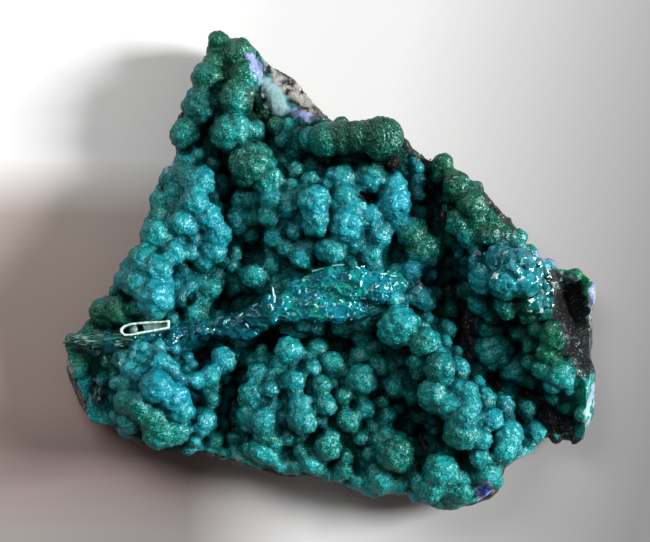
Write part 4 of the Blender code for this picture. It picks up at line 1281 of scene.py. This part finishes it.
def rockMaterial():
    look = hostRockLook
    material, tree, shader = newMaterial("hostRock")
    grains = facetNode(tree, 2000.0, 0.8, 0.95)
    patches = objectNoise(tree, 220.0, 6.0)
    mixed = ramp(tree, patches, [(0.35, look["dark"]), (0.7, look["light"])])
    colour = mixColour(tree, times(tree, grains.outputs["Glint"], 0.6), mixed, look["glint"])
    tree.links.new(colour, shader.inputs["Base Color"])
    tree.links.new(grains.outputs["Normal"], shader.inputs["Normal"])
    shader.inputs["Roughness"].default_value = 0.5
    return material


glassyLooks = {
    "glassyVein": {
        "dark": (0.001, 0.075, 0.105, 1),
        "blue": (0.001, 0.165, 0.225, 1),
        "green": (0.001, 0.250, 0.190, 1),
        "pale": (0.40, 0.80, 0.80, 1),
        "roughness": 0.13,
        "tilt": 0.5,
        "single": False,
    },
    "veinCrystals": {
        "dark": (0.001, 0.120, 0.160, 1),
        "blue": (0.001, 0.190, 0.265, 1),
        "green": (0.001, 0.290, 0.220, 1),
        "pale": (0.55, 0.85, 0.85, 1),
        "roughness": 0.12,
        "tilt": 0.1,
        "single": True,
    },
    "massCrystals": {
        "dark": (0.006, 0.060, 0.080, 1),
        "blue": (0.012, 0.120, 0.165, 1),
        "green": (0.002, 0.190, 0.150, 1),
        "pale": (0.22, 0.52, 0.55, 1),
        "roughness": 0.10,
        "tilt": 0.1,
        "single": True,
    },
}


def glassyMaterial(name):
    look = glassyLooks[name]
    material, tree, shader = newMaterial(name)
    grains = facetNode(tree, 2600.0, look["tilt"], 0.97)
    tint = node(tree, "ShaderNodeAttribute", attribute_name="tint").outputs["Fac"]
    patches = objectNoise(tree, 420.0, 5.0)
    colour = ramp(tree, patches, [(0.46, look["blue"]), (0.66, look["green"])])
    if look["single"]:
        # the tint differs from crystal to crystal
        colour = mixColour(tree, ramp(tree, tint, [(0.0, 0.8), (0.4, 0.0)]), colour, look["dark"])
        colour = mixColour(tree, ramp(tree, tint, [(0.87, 0.0), (1.0, 0.9)]), colour, look["pale"])
    else:
        colour = mixColour(tree, tint, look["dark"], colour)
        # painted glints in the pale colour
        glint = times(tree, grains.outputs["Glint"], tint)
        colour = mixColour(tree, times(tree, glint, 0.5), colour, look["pale"])
    tree.links.new(colour, shader.inputs["Base Color"])
    tree.links.new(grains.outputs["Normal"], shader.inputs["Normal"])
    shader.inputs["Roughness"].default_value = look["roughness"]
    shader.inputs["IOR"].default_value = 1.5
    shader.inputs["Specular Tint"].default_value = drusyMalachite["gloss"]
    return material


shardLook = {"rim": (0.60, 0.86, 0.76, 1), "wall": (0.10, 0.20, 0.18, 1), "rimFrom": 12.95}


def shardMaterial():
    look = shardLook
    material, tree, shader = newMaterial("hollowShard")
    coords = node(tree, "ShaderNodeTexCoord")
    parts = node(tree, "ShaderNodeSeparateXYZ")
    tree.links.new(coords.outputs["Object"], parts.inputs[0])
    height = times(tree, parts.outputs[2], 1 / mm)
    above = sums(tree, "SUBTRACT", height, look["rimFrom"])
    rim = ramp(tree, above, [(0.0, 0.0), (0.25, 1.0)])
    patches = ramp(tree, objectNoise(tree, 900.0, 4.0), [(0.3, 0.55), (0.5, 1.0)])
    edge = times(tree, rim, patches)
    colour = mixColour(tree, edge, look["wall"], look["rim"])
    tree.links.new(colour, shader.inputs["Base Color"])
    shader.inputs["Roughness"].default_value = 0.4
    return material


splinterLook = {
    "dark": (0.010, 0.040, 0.028, 1),
    "green": (0.030, 0.130, 0.095, 1),
    "teal": (0.004, 0.230, 0.230, 1),
    "streak": (0.50, 0.76, 0.66, 1),
}


def splinterMaterial():
    look = splinterLook
    material, tree, shader = newMaterial("splinteredTip")
    tint = node(tree, "ShaderNodeAttribute", attribute_name="tint").outputs["Fac"]
    colour = ramp(tree, tint, [(0.15, look["dark"]), (0.6, look["green"]), (0.95, look["teal"])])
    coords = node(tree, "ShaderNodeTexCoord")
    along = node(tree, "ShaderNodeVectorMath", operation="MULTIPLY")
    along.inputs[1].default_value = (260.0, 1500.0, 1500.0)
    tree.links.new(coords.outputs["Object"], along.inputs[0])
    streaks = node(tree, "ShaderNodeTexNoise", in_Scale=1.0, in_Detail=5.0)
    tree.links.new(along.outputs[0], streaks.inputs["Vector"])
    pale = ramp(tree, streaks.outputs[0], [(0.56, 0.0), (0.70, 0.85)])
    colour = mixColour(tree, pale, colour, look["streak"])
    tree.links.new(colour, shader.inputs["Base Color"])
    shader.inputs["Roughness"].default_value = 0.35
    return material


room = {
    "floor": [
        # how far along the painted falloff of light, and the floor's lightness there
        (0.15, 0.86), (0.34, 0.68), (0.52, 0.64), (0.67, 0.48), (0.79, 0.365), (0.90, 0.275),
        (1.0, 0.19),
    ],
    "paintedFalloffAlong": (8.0, -2.0, 0.0),  # painted shade: the floor is painted darker this way, per metre, as the light falls off
    "paintedShadowTint": [
        # painted shadow: distance towards -Y in metres, and the tint of the floor's left part there
        (-0.020, (1.0, 1.0, 1.0, 1)),
        (-0.010, (0.56, 0.47, 0.43, 1)),
        (0.022, (0.48, 0.355, 0.32, 1)),
        (0.034, (0.30, 0.228, 0.22, 1)),
        (0.044, (0.34, 0.31, 0.30, 1)),
    ],
    "paintedShadowFrom": (-0.004, -0.024),
    "rampMiddle": 0.5,
    "rampPerMetre": 10.0,
    "keyPower": 25.0,
    "keyFrom": (1.00, 0.08, 0.50),
    "keySize": (0.34, 0.34),
    "skyPower": 4.8,
    "skyFrom": (-0.35, 0.50, 0.78),
    "skySize": 0.6,
    "fill": (1.0, 0.94, 0.91, 1),
    "fillStrength": 0.15,
}


def softLight(name, power, source, size):
    light = bpy.data.lights.new(name, "AREA")
    light.energy = power
    light.shape = "RECTANGLE"
    light.size, light.size_y = size
    lamp = bpy.data.objects.new(name, light)
    bpy.context.scene.collection.objects.link(lamp)
    lamp.location = source
    lamp.rotation_euler = Vector(source).to_track_quat("Z", "Y").to_euler()


def alongRamp(metres):
    # a ramp runs from 0 to 1, and this is where a place on the floor falls on it
    return room["rampMiddle"] + room["rampPerMetre"] * metres


def distanceAcross(tree, axis):
    # the same for the shader: how far against this axis a point of the floor lies
    return sums(tree, "ADD", times(tree, axis, -room["rampPerMetre"]), room["rampMiddle"])


def makeRoom():
    bm = bmesh.new()
    bmesh.ops.create_grid(bm, x_segments=1, y_segments=1, size=1.2)
    ground = linkMesh("paleFloor", meshOf("paleFloor", bm))
    material, tree, shader = newMaterial("paleFloor")
    coords = node(tree, "ShaderNodeTexCoord")
    across = node(tree, "ShaderNodeVectorMath", operation="DOT_PRODUCT")
    tree.links.new(coords.outputs["Object"], across.inputs[0])
    across.inputs[1].default_value = room["paintedFalloffAlong"]
    # painted shade: the floor darkens away from its bright upper left
    paintedFalloff = sums(tree, "ADD", across.outputs["Value"], room["rampMiddle"])
    colour = ramp(tree, paintedFalloff, room["floor"])
    # painted shadow: the left part turns warmer and darker towards -Y
    parts = node(tree, "ShaderNodeSeparateXYZ")
    tree.links.new(coords.outputs["Object"], parts.inputs[0])
    stops = [(alongRamp(down), tint) for down, tint in room["paintedShadowTint"]]
    paintedShadowTint = ramp(tree, distanceAcross(tree, parts.outputs[1]), stops)
    near, far = room["paintedShadowFrom"]
    stops = [(alongRamp(-near), 0.0), (alongRamp(-far), 1.0)]
    share = ramp(tree, distanceAcross(tree, parts.outputs[0]), stops)
    tinted = mixColour(tree, 1.0, colour, paintedShadowTint, "MULTIPLY")
    colour = mixColour(tree, share, colour, tinted)
    tree.links.new(colour, shader.inputs["Base Color"])
    shader.inputs["Roughness"].default_value = 0.75
    ground.data.materials.append(material)

    softLight("window", room["keyPower"], room["keyFrom"], room["keySize"])
    softLight("ceiling", room["skyPower"], room["skyFrom"], (room["skySize"], room["skySize"]))

    world = bpy.data.worlds.new("room light")
    bpy.context.scene.world = world
    world.use_nodes = True
    world.node_tree.nodes["Background"].inputs[0].default_value = room["fill"]
    world.node_tree.nodes["Background"].inputs[1].default_value = room["fillStrength"]


viewpoint = {"elevation": 82.0, "distance": 450.0, "aim": (-1.0, -0.85, 12.0), "lens": 149.54}


def makeCamera():
    angle = math.radians(viewpoint["elevation"])
    back = Vector((0, -math.cos(angle), math.sin(angle)))
    camera = bpy.data.cameras.new("camera")
    camera.sensor_width = 36.0
    camera.lens = viewpoint["lens"]
    camera.clip_start = 0.01
    eye = bpy.data.objects.new("camera", camera)
    bpy.context.scene.collection.objects.link(eye)
    eye.location = inMetres(*viewpoint["aim"]) + back * viewpoint["distance"] * mm
    eye.rotation_euler = back.to_track_quat("Z", "Y").to_euler()
    bpy.context.scene.camera = eye
    bpy.context.scene.view_settings.view_transform = "Standard"


def place(name, mesh, material):
    mesh.materials.clear()
    mesh.materials.append(material)
    mesh.name = name
    obj = linkMesh(name, mesh)
    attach(obj, "root")
    return obj


makeCamera()
makeRoom()
crustMeshes = makeCrust()
paintCrust(crustMeshes)
malachite = drusyMaterial()
for name, mesh in crustMeshes.items():
    place(name, mesh, malachite)
base = place("hostRock", makeRock(), rockMaterial())
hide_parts("malachite_specimen")
veinMesh = makeVein()
place("veinCrystals", makeVeinCrystals(veinMesh), glassyMaterial("veinCrystals"))
place("glassyVein", veinMesh, glassyMaterial("glassyVein"))
place(
    "massCrystals",
    makeMassCrystals(crustMeshes["crustEast"]),
    glassyMaterial("massCrystals"),
)
place("hollowShard", makeShard(), shardMaterial())
place("splinteredTip", makeTip(), splinterMaterial())
print("placed every piece")
